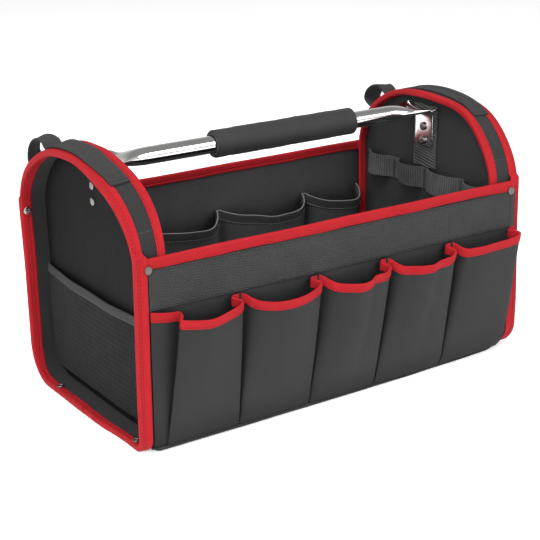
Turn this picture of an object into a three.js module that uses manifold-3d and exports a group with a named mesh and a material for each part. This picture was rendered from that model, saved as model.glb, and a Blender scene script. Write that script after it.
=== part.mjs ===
// Open tool bag: cloth walls, arched ends, pleated pockets and a tube handle.
// Millimetres, +Z up, +X to the right along the bag, front wall towards -Y, floor at Z = 0.
import * as THREE from "three";
import { mergeVertices } from "three/addons/utils/BufferGeometryUtils.js";
import Module from "manifold-3d";

const wasm = await Module();
wasm.setup();

// Driving sizes
const LENGTH = 500; // outer edge to outer edge of the two ends
const DEPTH = 251; // over the long walls
const WALL_TOP = 204; // long walls with their tape
const ARCH_TOP = 284.5; // arched ends with their tape
const ARCH_SPRING = 199.9; // height where the sides turn into the arch
const GUSSET_WIDTH = 40;
const END_RECESS = 28.6; // outer edge to the end panel's outer face
const BACK_LEAN = 0.04; // share of its depth that the back loses at the floor
const ARCH_LIFT = 5; // rise of the arch from its outer to its inner edge

// Thicknesses and clearances
const GAP = 0.3;
const TAPE = 1;
const WALL = 2.2;
const PAD = 4.6; // gusset on the arch
const SIDE_PAD = 1.2; // gusset up the sides
const FLAT_PAD = 1.2; // gusset along the bottom
const PAD_TURN = 36; // arch angle over which the gusset thickens
const PANEL = 2.5;
const CLOTH = 1.5; // pocket cloth
const NET = 1.2;
const WEBBING = 1.5;
const STRAP = 2.4;
const ELASTIC = 1.2;

// Tape widths
const OUTER_TAPE = 12;
const SIDE_TAPE = 14.4; // outside, up the ends of the long walls
const INNER_TAPE = 10;
const TOP_TAPE = 11;
const POCKET_TAPE = 8.5;
const HEM = 10.5;

// Layers outward from the gusset
const SKIN = GAP + TAPE;
const WALL_IN = 2 * SKIN + GAP;
const WALL_OUT = WALL_IN + WALL;
const BASE_IN = SKIN + GAP;
const BASE_EDGE = BASE_IN + 1.4;
const FLOOR = BASE_EDGE + SKIN; // gusset's underside
const HALF_DEPTH = DEPTH / 2 - WALL_OUT; // gusset's outer face
const ARCH_RISE = ARCH_TOP - SKIN - ARCH_SPRING;
const SHEET_END = 1.5; // walls and gusset stop this far inside the tape's fold

// Rounding of the bottom corners at each end, and where its base screws stand
const ENDS = [
  { name: "left", side: -1, front: 9, back: 36, screws: [-104, 63] },
  { name: "right", side: 1, front: 24, back: 32, screws: [-88, 60] },
];

// Arch angles from the back springing, closer together where the wall's top meets the tape
const ARCH_ANGLES = [0, 3, 8, 17, 27, 37, 47, 57, 68, 79, 90];
const CORNER_STEPS = 4;
const CORNER_GROWTH = { front: 3, back: 1 }; // how late along the bag the right end's rounding takes over

// Front pockets: seam positions at the mouth and at the foot
const FRONT_POCKETS = [
  { left: -235.5, right: -130, leftFoot: -236, rightFoot: -134, folds: "first" },
  { left: -130, right: -35, leftFoot: -134, rightFoot: -46, folds: "middle" },
  { left: -35, right: 56, leftFoot: -46, rightFoot: 41, folds: "middle" },
  { left: 56, right: 147.7, leftFoot: 41, rightFoot: 136, folds: "middle" },
  { left: 147.7, right: 236, leftFoot: 136, rightFoot: 233, folds: "last" },
];
const FRONT_MOUTH = { top: 147.5, foot: 8, lift: 7.5, scale: 1, levels: [0, 0.07, 0.16, 0.45, 0.7] };

// Folds across a front pocket: place along it, distance out from the wall, drop of the mouth
const FRONT_FOLDS = [
  { fold: "left seam", along: 0.03, out: 0, drop: 0 },
  { fold: "left flank", along: 0.045, out: 10, drop: 3 },
  { fold: "left turn", along: 0.1, out: 18, drop: 6 },
  { fold: "face left", along: 0.3, out: 24, drop: 8 },
  { fold: "face middle", along: 0.53, out: 26, drop: 8.5 },
  { fold: "face right", along: 0.77, out: 22, drop: 7.5 },
  { fold: "right turn", along: 0.92, out: 16, drop: 5 },
  { fold: "right crease", along: 0.972, out: 11, drop: 3 },
  { fold: "right tuck", along: 0.925, out: 4.5, drop: 0.5 },
  { fold: "right seam", along: 0.965, out: 0, drop: 0 },
];

// The first pocket starts with a flat flank and a knife pleat
const PLEAT_FOLDS = [
  { fold: "left seam", along: 0.005, out: 0, drop: -1.5 },
  { fold: "flank", along: 0.13, out: 6.5, drop: -0.5 },
  { fold: "flank end", along: 0.262, out: 12.5, drop: 1 },
  { fold: "pleat", along: 0.236, out: 18.5, drop: 5 },
  ...FRONT_FOLDS.slice(3),
];

// The last pocket overhangs the end of the wall
const LAST_FOLDS = [
  ...FRONT_FOLDS.slice(0, 2),
  { fold: "left turn", along: 0.1, out: 15, drop: 5 },
  { fold: "face left", along: 0.3, out: 18, drop: 6 },
  { fold: "face middle", along: 0.53, out: 18, drop: 6 },
  { fold: "face right", along: 0.77, out: 17, drop: 5 },
  { fold: "right turn", along: 0.96, out: 15, drop: 4 },
  { fold: "right crease", along: 1.09, out: 10.5, drop: 2.5 },
  { fold: "right tuck", along: 0.985, out: 5, drop: 0.5 },
  { fold: "right seam", along: 0.965, out: 0, drop: 0 },
];
const FRONT_FOLD_SETS = { first: PLEAT_FOLDS, middle: FRONT_FOLDS, last: LAST_FOLDS };

// Inside pockets on the back wall
const INSIDE_POCKETS = [
  { left: -206.5, right: -124.5, leftFoot: -206, rightFoot: -124.5 },
  { left: -124.5, right: 0, leftFoot: -124.5, rightFoot: 0 },
  { left: 0, right: 124.5, leftFoot: 0, rightFoot: 124.5 },
  { left: 124.5, right: 206.5, leftFoot: 124.5, rightFoot: 206 },
];
const INSIDE_MOUTH = { top: 148.5, foot: 14, lift: 0.9, scale: -1, levels: [0, 0.15, 0.4, 0.7] };
const INSIDE_FOLDS = [
  { fold: "left seam", along: 0.025, out: 0, drop: 0 },
  { fold: "left flank", along: 0.035, out: 9, drop: 4 },
  { fold: "left turn", along: 0.1, out: 18, drop: 8 },
  { fold: "face left", along: 0.34, out: 24, drop: 11 },
  { fold: "face middle", along: 0.58, out: 26, drop: 12 },
  { fold: "face right", along: 0.8, out: 22, drop: 9.5 },
  { fold: "right turn", along: 0.93, out: 14, drop: 5 },
  { fold: "right flank", along: 0.965, out: 7, drop: 2 },
  { fold: "right seam", along: 0.975, out: 0, drop: 0 },
];

// Net pocket on each end panel
const NET_POCKET = { top: 130.5, foot: 14, lift: 2.1, bulge: 9 };

// Elastic tool loops inside each end
const ELASTIC_BAND = { low: 168.5, high: 194.5, out: 10, steps: 6 };
const ELASTIC_LOOPS = [
  { from: -109, to: -66 },
  { from: -57, to: -2 },
  { from: 8, to: 51 },
  { from: 70, to: 109 },
];
const ELASTIC_END = 111.5;

// Webbing: along the front wall, and under the handle's legs
const FRONT_WEBBING = { left: -235.2, right: 235.2, low: 151.2, high: 192.4 };
const ANCHOR = { width: 40, low: 196, high: 272.5 };

// Strap over the arch, then the line of its open loop at the back
const STRAP_EDGES = { outer: 12.5, inner: 30.8 };
const STRAP_ANGLES = [127.5, 123, 112, 101, 90, 79, 68, 60];
const STRAP_LOOP = [
  { y: 72, z: 271.8 },
  { y: 84, z: 274.4 },
  { y: 96, z: 275.4 },
  { y: 105, z: 272.6 },
  { y: 112.5, z: 267.2 },
  { y: 117.6, z: 260.6 },
  { y: 118.8, z: 254.6 },
  { y: 115.8, z: 249.2 },
  { y: 110.5, z: 245.6 },
  { y: 105, z: 244.2 },
];
const LOOP_NORMAL = 0.82; // how much of the arch's rise the loop takes
const STRAP_TAIL_ANGLES = [34.8, 40];

// Handle: sections from the tube to the end of the leg, turned by tilt from upright
const HANDLE_Y = 3.5;
const TUBE = { radius: 9.5, z: 266.7 };
const HANDLE_SECTIONS = [
  { x: 150, z: 266.7, tilt: 0, half: 9.5, high: 9.5, lip: 0 },
  { x: 165, z: 266.3, tilt: 0, half: 11, high: 8.4, lip: 0.5 },
  { x: 179, z: 265.5, tilt: 0, half: 15, high: 5.4, lip: 1.8 },
  { x: 192, z: 264.7, tilt: 0, half: 21, high: 2.6, lip: 4 },
  { x: 202.5, z: 264.5, tilt: 0, half: 26, high: 1.3, lip: 6 },
  { x: 208, z: 263.7, tilt: 22, half: 25, high: 1.2, lip: 4.5 },
  { x: 211.6, z: 260.9, tilt: 55, half: 19, high: 1.2, lip: 1 },
  { x: 213.2, z: 254.5, tilt: 90, half: 15.5, high: 1.2, lip: 0 },
  { x: 213.2, z: 226.5, tilt: 90, half: 15.5, high: 1.2, lip: 0 },
  { x: 213.2, z: 223, tilt: 90, half: 12, high: 1.2, lip: 0 },
];
const LEG = 2.4;
const LEG_INSIDE = END_RECESS + PANEL + GAP + WEBBING + GAP + LEG;
const LEG_CENTRE = LENGTH / 2 - LEG_INSIDE + LEG / 2;
const GRIP = { centre: 14.6, length: 184, radius: 15, bevel: 1.4 };
const ROUND = 14;

// Fasteners: radius and place along the axis from the face that the head lies on
const BRACKET_SCREWS = { heights: [245.3, 228.3], hole: 2.6 };
const BRACKET_STACK = LEG_INSIDE - END_RECESS;
const BRACKET_PROFILE = [
  { r: 0, t: -2.9 },
  { r: 3.2, t: -2.9 },
  { r: 4.8, t: -1.6 },
  { r: 4.8, t: -GAP },
  { r: 2.2, t: -GAP },
  { r: 2.2, t: BRACKET_STACK + GAP },
  { r: 4.4, t: BRACKET_STACK + GAP },
  { r: 4.4, t: BRACKET_STACK + 1.4 },
  { r: 3.2, t: BRACKET_STACK + 2.1 },
  { r: 0, t: BRACKET_STACK + 2.1 },
];
const CORNER_RIVETS = { front: 15, back: 6.5, z: 193.3, hole: 2.2 };
const RIVET_OUT = WALL_OUT + SKIN + 0.5;
const RIVET_IN = -SIDE_PAD - SKIN - GAP;
const RIVET_PROFILE = [
  { r: 0, t: RIVET_OUT + 1.6 },
  { r: 3.6, t: RIVET_OUT + 1.6 },
  { r: 4.4, t: RIVET_OUT + 0.9 },
  { r: 4.4, t: RIVET_OUT },
  { r: 1.8, t: RIVET_OUT },
  { r: 1.8, t: RIVET_IN },
  { r: 3.8, t: RIVET_IN },
  { r: 3.8, t: RIVET_IN - 1 },
  { r: 2.6, t: RIVET_IN - 1.8 },
  { r: 0, t: RIVET_IN - 1.8 },
];
const BASE_SCREWS = { depth: 9, hole: 2.2 };
const SCREW_SEAT = FLOOR + FLAT_PAD + SKIN + GAP;
const BASE_SCREW_PROFILE = [
  { r: 0, t: SCREW_SEAT + 2 },
  { r: 2.8, t: SCREW_SEAT + 2 },
  { r: 4.1, t: SCREW_SEAT + 1 },
  { r: 4.1, t: SCREW_SEAT },
  { r: 1.8, t: SCREW_SEAT },
  { r: 1.8, t: FLOOR - BASE_EDGE + 0.4 },
  { r: 0, t: FLOOR - BASE_EDGE + 0.4 },
];

// Finishes
const FINISHES = {
  cloth: { color: 0x2c2c2e, roughness: 0.9, metalness: 0 },
  tape: { color: 0xc0202c, roughness: 0.85, metalness: 0 },
  webbing: { color: 0x4a4a48, roughness: 0.9, metalness: 0 },
  net: { color: 0x303032, roughness: 0.9, metalness: 0 },
  chrome: { color: 0xd6d8da, roughness: 0.12, metalness: 1 },
  foam: { color: 0x333335, roughness: 0.85, metalness: 0 },
  steel: { color: 0x6f6a60, roughness: 0.35, metalness: 1 },
};

const lerp = THREE.MathUtils.lerp;
const radians = THREE.MathUtils.degToRad;
const vec = (x, y, z) => new THREE.Vector3(x, y, z);

// Signed volume of an indexed mesh
function volumeOf(points, faces) {
  let six = 0;
  const cross = new THREE.Vector3();
  for (let i = 0; i < faces.length; i += 3) {
    cross.crossVectors(points[faces[i + 1]], points[faces[i + 2]]);
    six += points[faces[i]].dot(cross);
  }
  return six / 6;
}

// Geometry from points and triangles, turned to face outward
function solid(points, faces) {
  const index = faces.slice();
  if (volumeOf(points, faces) < 0) index.reverse();
  const geometry = new THREE.BufferGeometry();
  geometry.setAttribute("position", new THREE.Float32BufferAttribute(points.flatMap((p) => p.toArray()), 3));
  geometry.setIndex(index);
  return geometry;
}

// Points and triangles of any geometry, welded
function meshData(geometry) {
  const bare = new THREE.BufferGeometry();
  bare.setAttribute("position", geometry.getAttribute("position"));
  bare.setIndex(geometry.getIndex());
  const welded = mergeVertices(bare, 1e-4);
  const at = welded.getAttribute("position");
  const points = Array.from({ length: at.count }, (_, i) => vec(at.getX(i), at.getY(i), at.getZ(i)));
  const all = Array.from(welded.getIndex().array);
  const faces = [];
  for (let i = 0; i < all.length; i += 3) {
    const [a, b, c] = all.slice(i, i + 3);
    if (a !== b && b !== c && c !== a) faces.push(a, b, c);
  }
  return { points, faces };
}

function welded(geometry) {
  const { points, faces } = meshData(geometry);
  return solid(points, faces);
}

function toManifold(geometry) {
  const { points, faces } = meshData(welded(geometry));
  const vertProperties = new Float32Array(points.flatMap((p) => p.toArray()));
  return new wasm.Manifold(new wasm.Mesh({ numProp: 3, vertProperties, triVerts: new Uint32Array(faces) }));
}

// A solid less a list of others
function cut(geometry, cutters) {
  let body = toManifold(geometry);
  for (const cutter of cutters) body = body.subtract(toManifold(cutter));
  const mesh = body.getMesh();
  const points = [];
  for (let i = 0; i < mesh.numVert; i += 1) {
    const k = i * mesh.numProp;
    points.push(vec(mesh.vertProperties[k], mesh.vertProperties[k + 1], mesh.vertProperties[k + 2]));
  }
  return solid(points, Array.from(mesh.triVerts));
}

// Two facing grids of points closed round their edges into one sheet
function sheetSolid(skin, lining, loop = false) {
  const tall = skin.length;
  const wide = skin[0].length;
  const points = [...skin.flat(), ...lining.flat()];
  const faces = [];
  const at = (layer, row, column) => layer * tall * wide + (row % tall) * wide + column;
  const quad = (a, b, c, d) => {
    const first = points[a].distanceToSquared(points[c]);
    const second = points[b].distanceToSquared(points[d]);
    if (first <= second + 1e-6) faces.push(a, b, c, a, c, d);
    else faces.push(a, b, d, b, c, d);
  };
  const end = wide - 1;
  for (let r = 0; r < (loop ? tall : tall - 1); r += 1) {
    for (let c = 0; c < end; c += 1) {
      quad(at(0, r, c), at(0, r, c + 1), at(0, r + 1, c + 1), at(0, r + 1, c));
      quad(at(1, r, c), at(1, r + 1, c), at(1, r + 1, c + 1), at(1, r, c + 1));
    }
    quad(at(0, r, 0), at(0, r + 1, 0), at(1, r + 1, 0), at(1, r, 0));
    quad(at(0, r, end), at(1, r, end), at(1, r + 1, end), at(0, r + 1, end));
  }
  for (let c = 0; c < end && !loop; c += 1) {
    quad(at(0, 0, c), at(1, 0, c), at(1, 0, c + 1), at(0, 0, c + 1));
    quad(at(0, tall - 1, c), at(0, tall - 1, c + 1), at(1, tall - 1, c + 1), at(1, tall - 1, c));
  }
  return solid(points, faces);
}

// Rings of points joined along, with a flat cap at each end
function ringSolid(rings) {
  const count = rings[0].length;
  const faces = [];
  for (let r = 0; r + 1 < rings.length; r += 1) {
    for (let k = 0; k < count; k += 1) {
      const next = (k + 1) % count;
      const low = r * count;
      const high = low + count;
      faces.push(low + k, low + next, high + next, low + k, high + next, high + k);
    }
  }
  const top = (rings.length - 1) * count;
  for (let k = 1; k + 1 < count; k += 1) faces.push(0, k + 1, k, top, top + k, top + k + 1);
  return solid(rings.flat(), faces);
}

// Body of revolution from rows of radius and place along the axis, turned onto the axis
function turned(profile, axis, steps = 8) {
  const line = profile.map(({ r, t }) => new THREE.Vector2(r, t));
  const geometry = welded(new THREE.LatheGeometry(line, steps));
  geometry.applyQuaternion(new THREE.Quaternion().setFromUnitVectors(vec(0, 1, 0), axis));
  return geometry;
}

function rod(radius, from, to, axis) {
  const profile = [{ r: 0, t: from }, { r: radius, t: from }, { r: radius, t: to }, { r: 0, t: to }];
  return turned(profile, axis);
}

function moved(geometry, x, y, z) {
  return geometry.clone().translate(x, y, z);
}

// Outline of an end, once round from the bottom's middle over the arch
function endOutline({ front, back }) {
  const rows = [{ y: 0, z: FLOOR, ny: 0, nz: -1, pad: FLAT_PAD, cover: BASE_EDGE }];
  const corner = (dir, radius, t) => {
    const ny = dir * Math.sin(radians(90 * t));
    const nz = -Math.cos(radians(90 * t));
    const y = dir * (HALF_DEPTH - radius) + radius * ny;
    const z = FLOOR + radius * (1 + nz);
    rows.push({ y, z, ny, nz, pad: lerp(FLAT_PAD, SIDE_PAD, t), cover: lerp(BASE_EDGE, WALL_OUT, t) });
  };
  for (let i = 0; i <= CORNER_STEPS; i += 1) corner(-1, front, i / CORNER_STEPS);
  for (const angle of archAngles()) rows.push({ ...archRow(angle), pad: archPad(angle), cover: archCover(angle) });
  for (let i = CORNER_STEPS; i >= 0; i -= 1) corner(1, back, i / CORNER_STEPS);
  return rows;
}

function archAngles() {
  const half = ARCH_ANGLES.slice(0, -1);
  return [...half.map((angle) => 180 - angle), 90, ...half.reverse()];
}

function archPad(angle) {
  const share = THREE.MathUtils.smoothstep(Math.min(angle, 180 - angle), 0, PAD_TURN);
  return lerp(SIDE_PAD, PAD, share);
}

function archCover(angle) {
  return Math.min(angle, 180 - angle) < 5 ? WALL_OUT : 0;
}

function archRow(angle) {
  const c = Math.cos(radians(angle));
  const s = Math.sin(radians(angle));
  const size = Math.hypot(c / HALF_DEPTH, s / ARCH_RISE);
  const y = HALF_DEPTH * c;
  const z = ARCH_SPRING + ARCH_RISE * s;
  return { y, z, ny: c / HALF_DEPTH / size, nz: s / ARCH_RISE / size };
}

// Rise of the arch at a place in from the outer edge
function lift(normal, depth) {
  return (ARCH_LIFT * Math.max(0, normal) * depth) / GUSSET_WIDTH;
}

// A point off an end's outline: out along its normal, in from the outer edge
function endPoint(side, row, out, depth) {
  const z = row.z + row.nz * out + lift(row.nz, depth);
  return vec(side * (LENGTH / 2 - depth), row.y + row.ny * out, z);
}

function endLoop(end, skin, lining) {
  const rows = endOutline(end);
  const grid = (shape) => rows.map((row) => shape(row).map((p) => endPoint(end.side, row, p.out, p.depth)));
  return sheetSolid(grid(skin), grid(lining), true);
}

// Folded tape between two faces: its outside, or its inside one thickness smaller
function foldedTape(low, high, edge, nose, tape, outerEdge = edge) {
  return [
    { out: high + tape, depth: outerEdge },
    { out: high + tape, depth: nose },
    { out: low - tape, depth: nose },
    { out: low - tape, depth: edge },
  ];
}

function gusset(end) {
  const face = (out) => [{ out, depth: SHEET_END }, { out, depth: GUSSET_WIDTH }];
  return endLoop(end, () => face(0), (row) => face(-row.pad));
}

function outerBinding(end) {
  const fold = (row, tape, nose) => {
    const reach = lerp(OUTER_TAPE, SIDE_TAPE, Math.max(0, row.cover - BASE_EDGE) / (WALL_OUT - BASE_EDGE));
    return foldedTape(-row.pad - GAP, row.cover + GAP, OUTER_TAPE, nose, tape, reach);
  };
  return endLoop(end, (row) => fold(row, TAPE, 0), (row) => fold(row, 0, TAPE));
}

function innerBinding(end) {
  const nose = GUSSET_WIDTH + SKIN;
  const fold = (row, tape, at) => foldedTape(-row.pad - GAP, GAP, nose - INNER_TAPE, at, tape);
  return endLoop(end, (row) => fold(row, TAPE, nose), (row) => fold(row, 0, nose - TAPE));
}

// Arched end panel, drawn in the YZ plane and given its thickness along X
function endPanel(end) {
  const line = endOutline(end).map((row) => {
    const point = endPoint(end.side, row, -row.pad - GAP, END_RECESS);
    return new THREE.Vector2(point.y, point.z);
  });
  const plate = new THREE.ExtrudeGeometry(new THREE.Shape(line), { depth: PANEL, bevelEnabled: false });
  plate.applyMatrix4(new THREE.Matrix4().makeBasis(vec(0, 1, 0), vec(0, 0, 1), vec(1, 0, 0)));
  const x = end.side * (LENGTH / 2 - END_RECESS - PANEL / 2) - PANEL / 2;
  return welded(plate.translate(x, 0, 0));
}

// Corner radius at a place along the bag
function cornerRadius(edge, x) {
  const share = THREE.MathUtils.clamp(x / (LENGTH - 2 * SIDE_TAPE - 4) + 0.5, 0, 1);
  return lerp(ENDS[0][edge], ENDS[1][edge], Math.pow(share, CORNER_GROWTH[edge]));
}

// A point on a long wall: height up it, and distance out from the gusset's line
function wallPoint(edge, x, height, out) {
  const dir = edge === "front" ? -1 : 1;
  const radius = cornerRadius(edge, x);
  const turn = FLOOR + radius;
  if (height >= turn) return vec(x, dir * (HALF_DEPTH + out), height);
  const reach = radius + WALL_OUT;
  const angle = Math.asin(Math.min(1, (turn - height) / reach));
  const y = HALF_DEPTH - radius + (radius + out) * Math.cos(angle);
  return vec(x, dir * y, turn - (radius + out) * Math.sin(angle));
}

// Places along the bag between the tapes at its ends
function alongBag() {
  const reach = LENGTH / 2 - SIDE_TAPE - GAP - 1.5;
  return [-1, 0, 0.4, 0.7, 0.9, 1].map((share) => share * reach);
}

function longWall(edge) {
  const dir = edge === "front" ? -1 : 1;
  const reach = LENGTH / 2 - SHEET_END;
  const face = (out) => [-reach, ...alongBag(), reach].map((x) => {
    const foot = FLOOR + cornerRadius(edge, x) + GAP;
    return [foot, WALL_TOP - SKIN].map((z) => vec(x, dir * (HALF_DEPTH + out), z));
  });
  return sheetSolid(face(WALL_OUT), face(WALL_IN));
}

// Bottom panel: thin in the tapes at its ends, thick enough between them to reach the floor
function basePanel() {
  const reach = LENGTH / 2 - SHEET_END;
  const free = LENGTH / 2 - SIDE_TAPE - GAP;
  const stations = [
    { x: -reach, bottom: BASE_EDGE, side: WALL_OUT },
    { x: -free, bottom: BASE_EDGE, side: WALL_OUT },
    ...alongBag().map((x) => ({ x, bottom: FLOOR, side: WALL_OUT + 0.7 })),
    { x: free, bottom: BASE_EDGE, side: WALL_OUT },
    { x: reach, bottom: BASE_EDGE, side: WALL_OUT },
  ];
  const line = (x, bottom, side) => {
    const points = [];
    const arc = (dir, edge, t) => {
      const radius = cornerRadius(edge, x);
      const out = radius + lerp(bottom, side, t);
      const y = dir * (HALF_DEPTH - radius + out * Math.sin(radians(90 * t)));
      points.push(vec(x, y, FLOOR + radius - out * Math.cos(radians(90 * t))));
    };
    for (let i = CORNER_STEPS; i >= 0; i -= 1) arc(-1, "front", i / CORNER_STEPS);
    for (let i = 0; i <= CORNER_STEPS; i += 1) arc(1, "back", i / CORNER_STEPS);
    return points;
  };
  const under = stations.map(({ x, bottom, side }) => line(x, bottom, side));
  const upper = stations.map(({ x }) => line(x, BASE_IN, WALL_IN));
  return sheetSolid(under, upper);
}

function topBinding(edge) {
  const dir = edge === "front" ? -1 : 1;
  const reach = LENGTH / 2 - SIDE_TAPE - GAP;
  const fold = (tape, nose) => [-reach, reach].map((x) => {
    const line = foldedTape(WALL_IN - GAP, WALL_OUT + GAP, WALL_TOP - TOP_TAPE, nose, tape);
    return line.map((p) => vec(x, dir * (HALF_DEPTH + p.out), p.depth));
  });
  return sheetSolid(fold(TAPE, WALL_TOP), fold(0, WALL_TOP - TAPE));
}

// Unit normals of a grid of points, from its neighbours
function gridNormals(grid) {
  const pick = (list, i) => list[Math.max(0, Math.min(list.length - 1, i))];
  return grid.map((row, r) => row.map((_, c) => {
    const across = vec(0, 0, 0).subVectors(pick(row, c + 1), pick(row, c - 1));
    const up = vec(0, 0, 0).subVectors(pick(grid, r + 1)[c], pick(grid, r - 1)[c]);
    return across.cross(up).normalize();
  }));
}

// A sheet of even thickness about a grid, and the tape folded over its last row
function clothAbout(grid, thick) {
  const normals = gridNormals(grid);
  const face = (off) => grid.map((row, r) => row.map((p, c) => p.clone().addScaledVector(normals[r][c], off)));
  return sheetSolid(face(thick / 2), face(-thick / 2));
}

function tapeOver(grid, thick, tape) {
  const normals = gridNormals(grid);
  const top = grid.length - 1;
  const fold = (extra) => grid[top].map((tip, c) => {
    const root = grid[top - 1][c];
    const rise = vec(0, 0, 0).subVectors(tip, root).normalize().multiplyScalar(GAP + extra);
    const peak = tip.clone().add(rise);
    const off = thick / 2 + GAP + extra;
    return [
      root.clone().addScaledVector(normals[top - 1][c], off),
      peak.clone().addScaledVector(normals[top][c], off),
      peak.clone().addScaledVector(normals[top][c], -off),
      root.clone().addScaledVector(normals[top - 1][c], -off),
    ];
  });
  return sheetSolid(fold(tape), fold(0));
}

// The middle of a seam between two pockets, short of it by half a gap
function seamEdge(near, far) {
  return near.clone().lerp(far, 0.5 - GAP / 2 / near.distanceTo(far));
}

// Grids of the pleated pockets on a long wall, each out to the seams beside it
function pocketGrids(edge, pockets, mouth, foldsFor, tapeWidth) {
  const levels = [...mouth.levels, 1 - tapeWidth / (mouth.top - mouth.foot), 1];
  const rows = levels.map((v) => pockets.map((pocket) => {
    const folds = foldsFor(pocket);
    return folds.map(({ along, out, drop }, i) => {
      const spread = lerp(0.02, 0.98, i / (folds.length - 1));
      const foot = lerp(pocket.leftFoot, pocket.rightFoot, spread);
      const x = lerp(foot, lerp(pocket.left, pocket.right, along), v);
      const height = lerp(mouth.foot, mouth.top - drop, v);
      return wallPoint(edge, x, height, mouth.lift + mouth.scale * out * v);
    });
  }));
  return pockets.map((_, i) => rows.map((row) => {
    const before = i > 0 ? [seamEdge(row[i][0], row[i - 1].at(-1))] : [];
    const after = i + 1 < pockets.length ? [seamEdge(row[i].at(-1), row[i + 1][0])] : [];
    return [...before, ...row[i], ...after];
  }));
}

// Several grids side by side as one
function joined(grids) {
  return grids[0].map((_, r) => grids.flatMap((grid) => grid[r]));
}

// Net pocket bowed out from an end panel, following the rounded corners
function netGrid(end) {
  const half = (radius, z) => {
    const turn = FLOOR + radius;
    if (z >= turn) return HALF_DEPTH - SIDE_PAD - 0.6;
    const inner = radius - SIDE_PAD - 0.6;
    return HALF_DEPTH - radius + Math.sqrt(Math.max(0, inner ** 2 - (turn - z) ** 2));
  };
  const rise = NET_POCKET.top - NET_POCKET.foot;
  const levels = [0, 0.12, 0.3, 0.6, 1 - HEM / rise, 1];
  const across = Array.from({ length: 9 }, (_, i) => i / 4 - 1);
  return levels.map((v) => across.map((s) => {
    const z = NET_POCKET.foot + rise * v;
    const y = lerp(-half(end.front, z), half(end.back, z), s / 2 + 0.5);
    const bulge = NET_POCKET.bulge * Math.pow(v, 0.6) * (1 - s ** 2);
    return vec(end.side * (LENGTH / 2 - END_RECESS + NET_POCKET.lift + bulge), y, z);
  }));
}

// Elastic band lying on a panel and standing off it in loops
function elasticGrid(end) {
  const line = [{ y: -ELASTIC_END, out: 0 }];
  for (const { from, to } of ELASTIC_LOOPS) {
    for (let i = 0; i <= ELASTIC_BAND.steps; i += 1) {
      const t = i / ELASTIC_BAND.steps;
      line.push({ y: lerp(from, to, t), out: ELASTIC_BAND.out * Math.sin(Math.PI * t) ** 0.7 });
    }
  }
  line.push({ y: ELASTIC_END, out: 0 });
  const face = LENGTH / 2 - END_RECESS - PANEL - GAP - ELASTIC / 2;
  const heights = [ELASTIC_BAND.low, ELASTIC_BAND.high];
  return heights.map((z) => line.map(({ y, out }) => vec(end.side * (face - out), y, z)));
}

// Strap along the arch, out into its loop and back to the arch under it
function strapGrid(end) {
  const onArch = (angle) => {
    const row = archRow(angle);
    const out = GAP + STRAP / 2;
    return { y: row.y + row.ny * out, z: row.z + row.nz * out, nz: row.nz };
  };
  const loop = STRAP_LOOP.map((row) => ({ ...row, nz: LOOP_NORMAL }));
  const line = [...STRAP_ANGLES.map(onArch), ...loop, ...STRAP_TAIL_ANGLES.map(onArch)];
  const edges = [STRAP_EDGES.outer, STRAP_EDGES.inner];
  const point = ({ y, z, nz }, depth) => vec(end.side * (LENGTH / 2 - depth), y, z + lift(nz, depth));
  return line.map((row) => edges.map((depth) => point(row, depth)));
}

// Handle tube from one leg over to the other
function handleTube() {
  const rows = HANDLE_SECTIONS.map((row) => (row.tilt === 90 ? { ...row, x: LEG_CENTRE } : row));
  const ring = (row, side) => Array.from({ length: ROUND }, (_, k) => {
    const angle = (2 * Math.PI * k) / ROUND;
    const rise = row.high * Math.sin(angle) + row.lip * Math.cos(angle) ** 2;
    const x = side * (row.x + rise * Math.sin(radians(row.tilt)));
    const z = row.z + rise * Math.cos(radians(row.tilt));
    return vec(x, HANDLE_Y + row.half * Math.cos(angle), z);
  });
  const left = rows.map((row) => ring(row, -1)).reverse();
  return ringSolid([...left, ...rows.map((row) => ring(row, 1))]);
}

function handleGrip() {
  const { length, radius, bevel } = GRIP;
  const half = length / 2;
  const bore = TUBE.radius + GAP;
  const profile = [
    { r: bore, t: -half },
    { r: radius - bevel, t: -half },
    { r: radius, t: bevel - half },
    { r: radius, t: half - bevel },
    { r: radius - bevel, t: half },
    { r: bore, t: half },
    { r: bore, t: -half },
  ];
  return moved(turned(profile, vec(1, 0, 0), 20), GRIP.centre, HANDLE_Y, TUBE.z);
}

function slab(x0, x1, y0, y1, z0, z1) {
  const box = new THREE.BoxGeometry(x1 - x0, y1 - y0, z1 - z0);
  return welded(box.translate((x0 + x1) / 2, (y0 + y1) / 2, (z0 + z1) / 2));
}

// Webbing under a leg of the handle
function anchor(end) {
  const outer = LENGTH / 2 - END_RECESS - PANEL - GAP;
  const x = [end.side * outer, end.side * (outer - WEBBING)].sort((a, b) => a - b);
  const half = ANCHOR.width / 2;
  return slab(x[0], x[1], HANDLE_Y - half, HANDLE_Y + half, ANCHOR.low, ANCHOR.high);
}

function frontWebbing() {
  const face = -DEPTH / 2 - GAP;
  const { left, right, low, high } = FRONT_WEBBING;
  return slab(left, right, face - 1.2, face, low, high);
}

// Axes that the fasteners point along
const alongX = (side) => vec(side, 0, 0);
const alongY = (dir) => vec(0, dir, 0);
const upward = vec(0, 0, 1);

// Holes for the fasteners
function bracketHoles(side) {
  const hole = rod(BRACKET_SCREWS.hole, 0, 20, alongX(side));
  return BRACKET_SCREWS.heights.map((z) => moved(hole, side * (LEG_CENTRE - 5), HANDLE_Y, z));
}

function rivetX(side, dir) {
  return side * (LENGTH / 2 - (dir < 0 ? CORNER_RIVETS.front : CORNER_RIVETS.back));
}

function rivetHole(side, dir) {
  const hole = rod(CORNER_RIVETS.hole, -12, 12, alongY(dir));
  return moved(hole, rivetX(side, dir), dir * HALF_DEPTH, CORNER_RIVETS.z);
}

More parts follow.
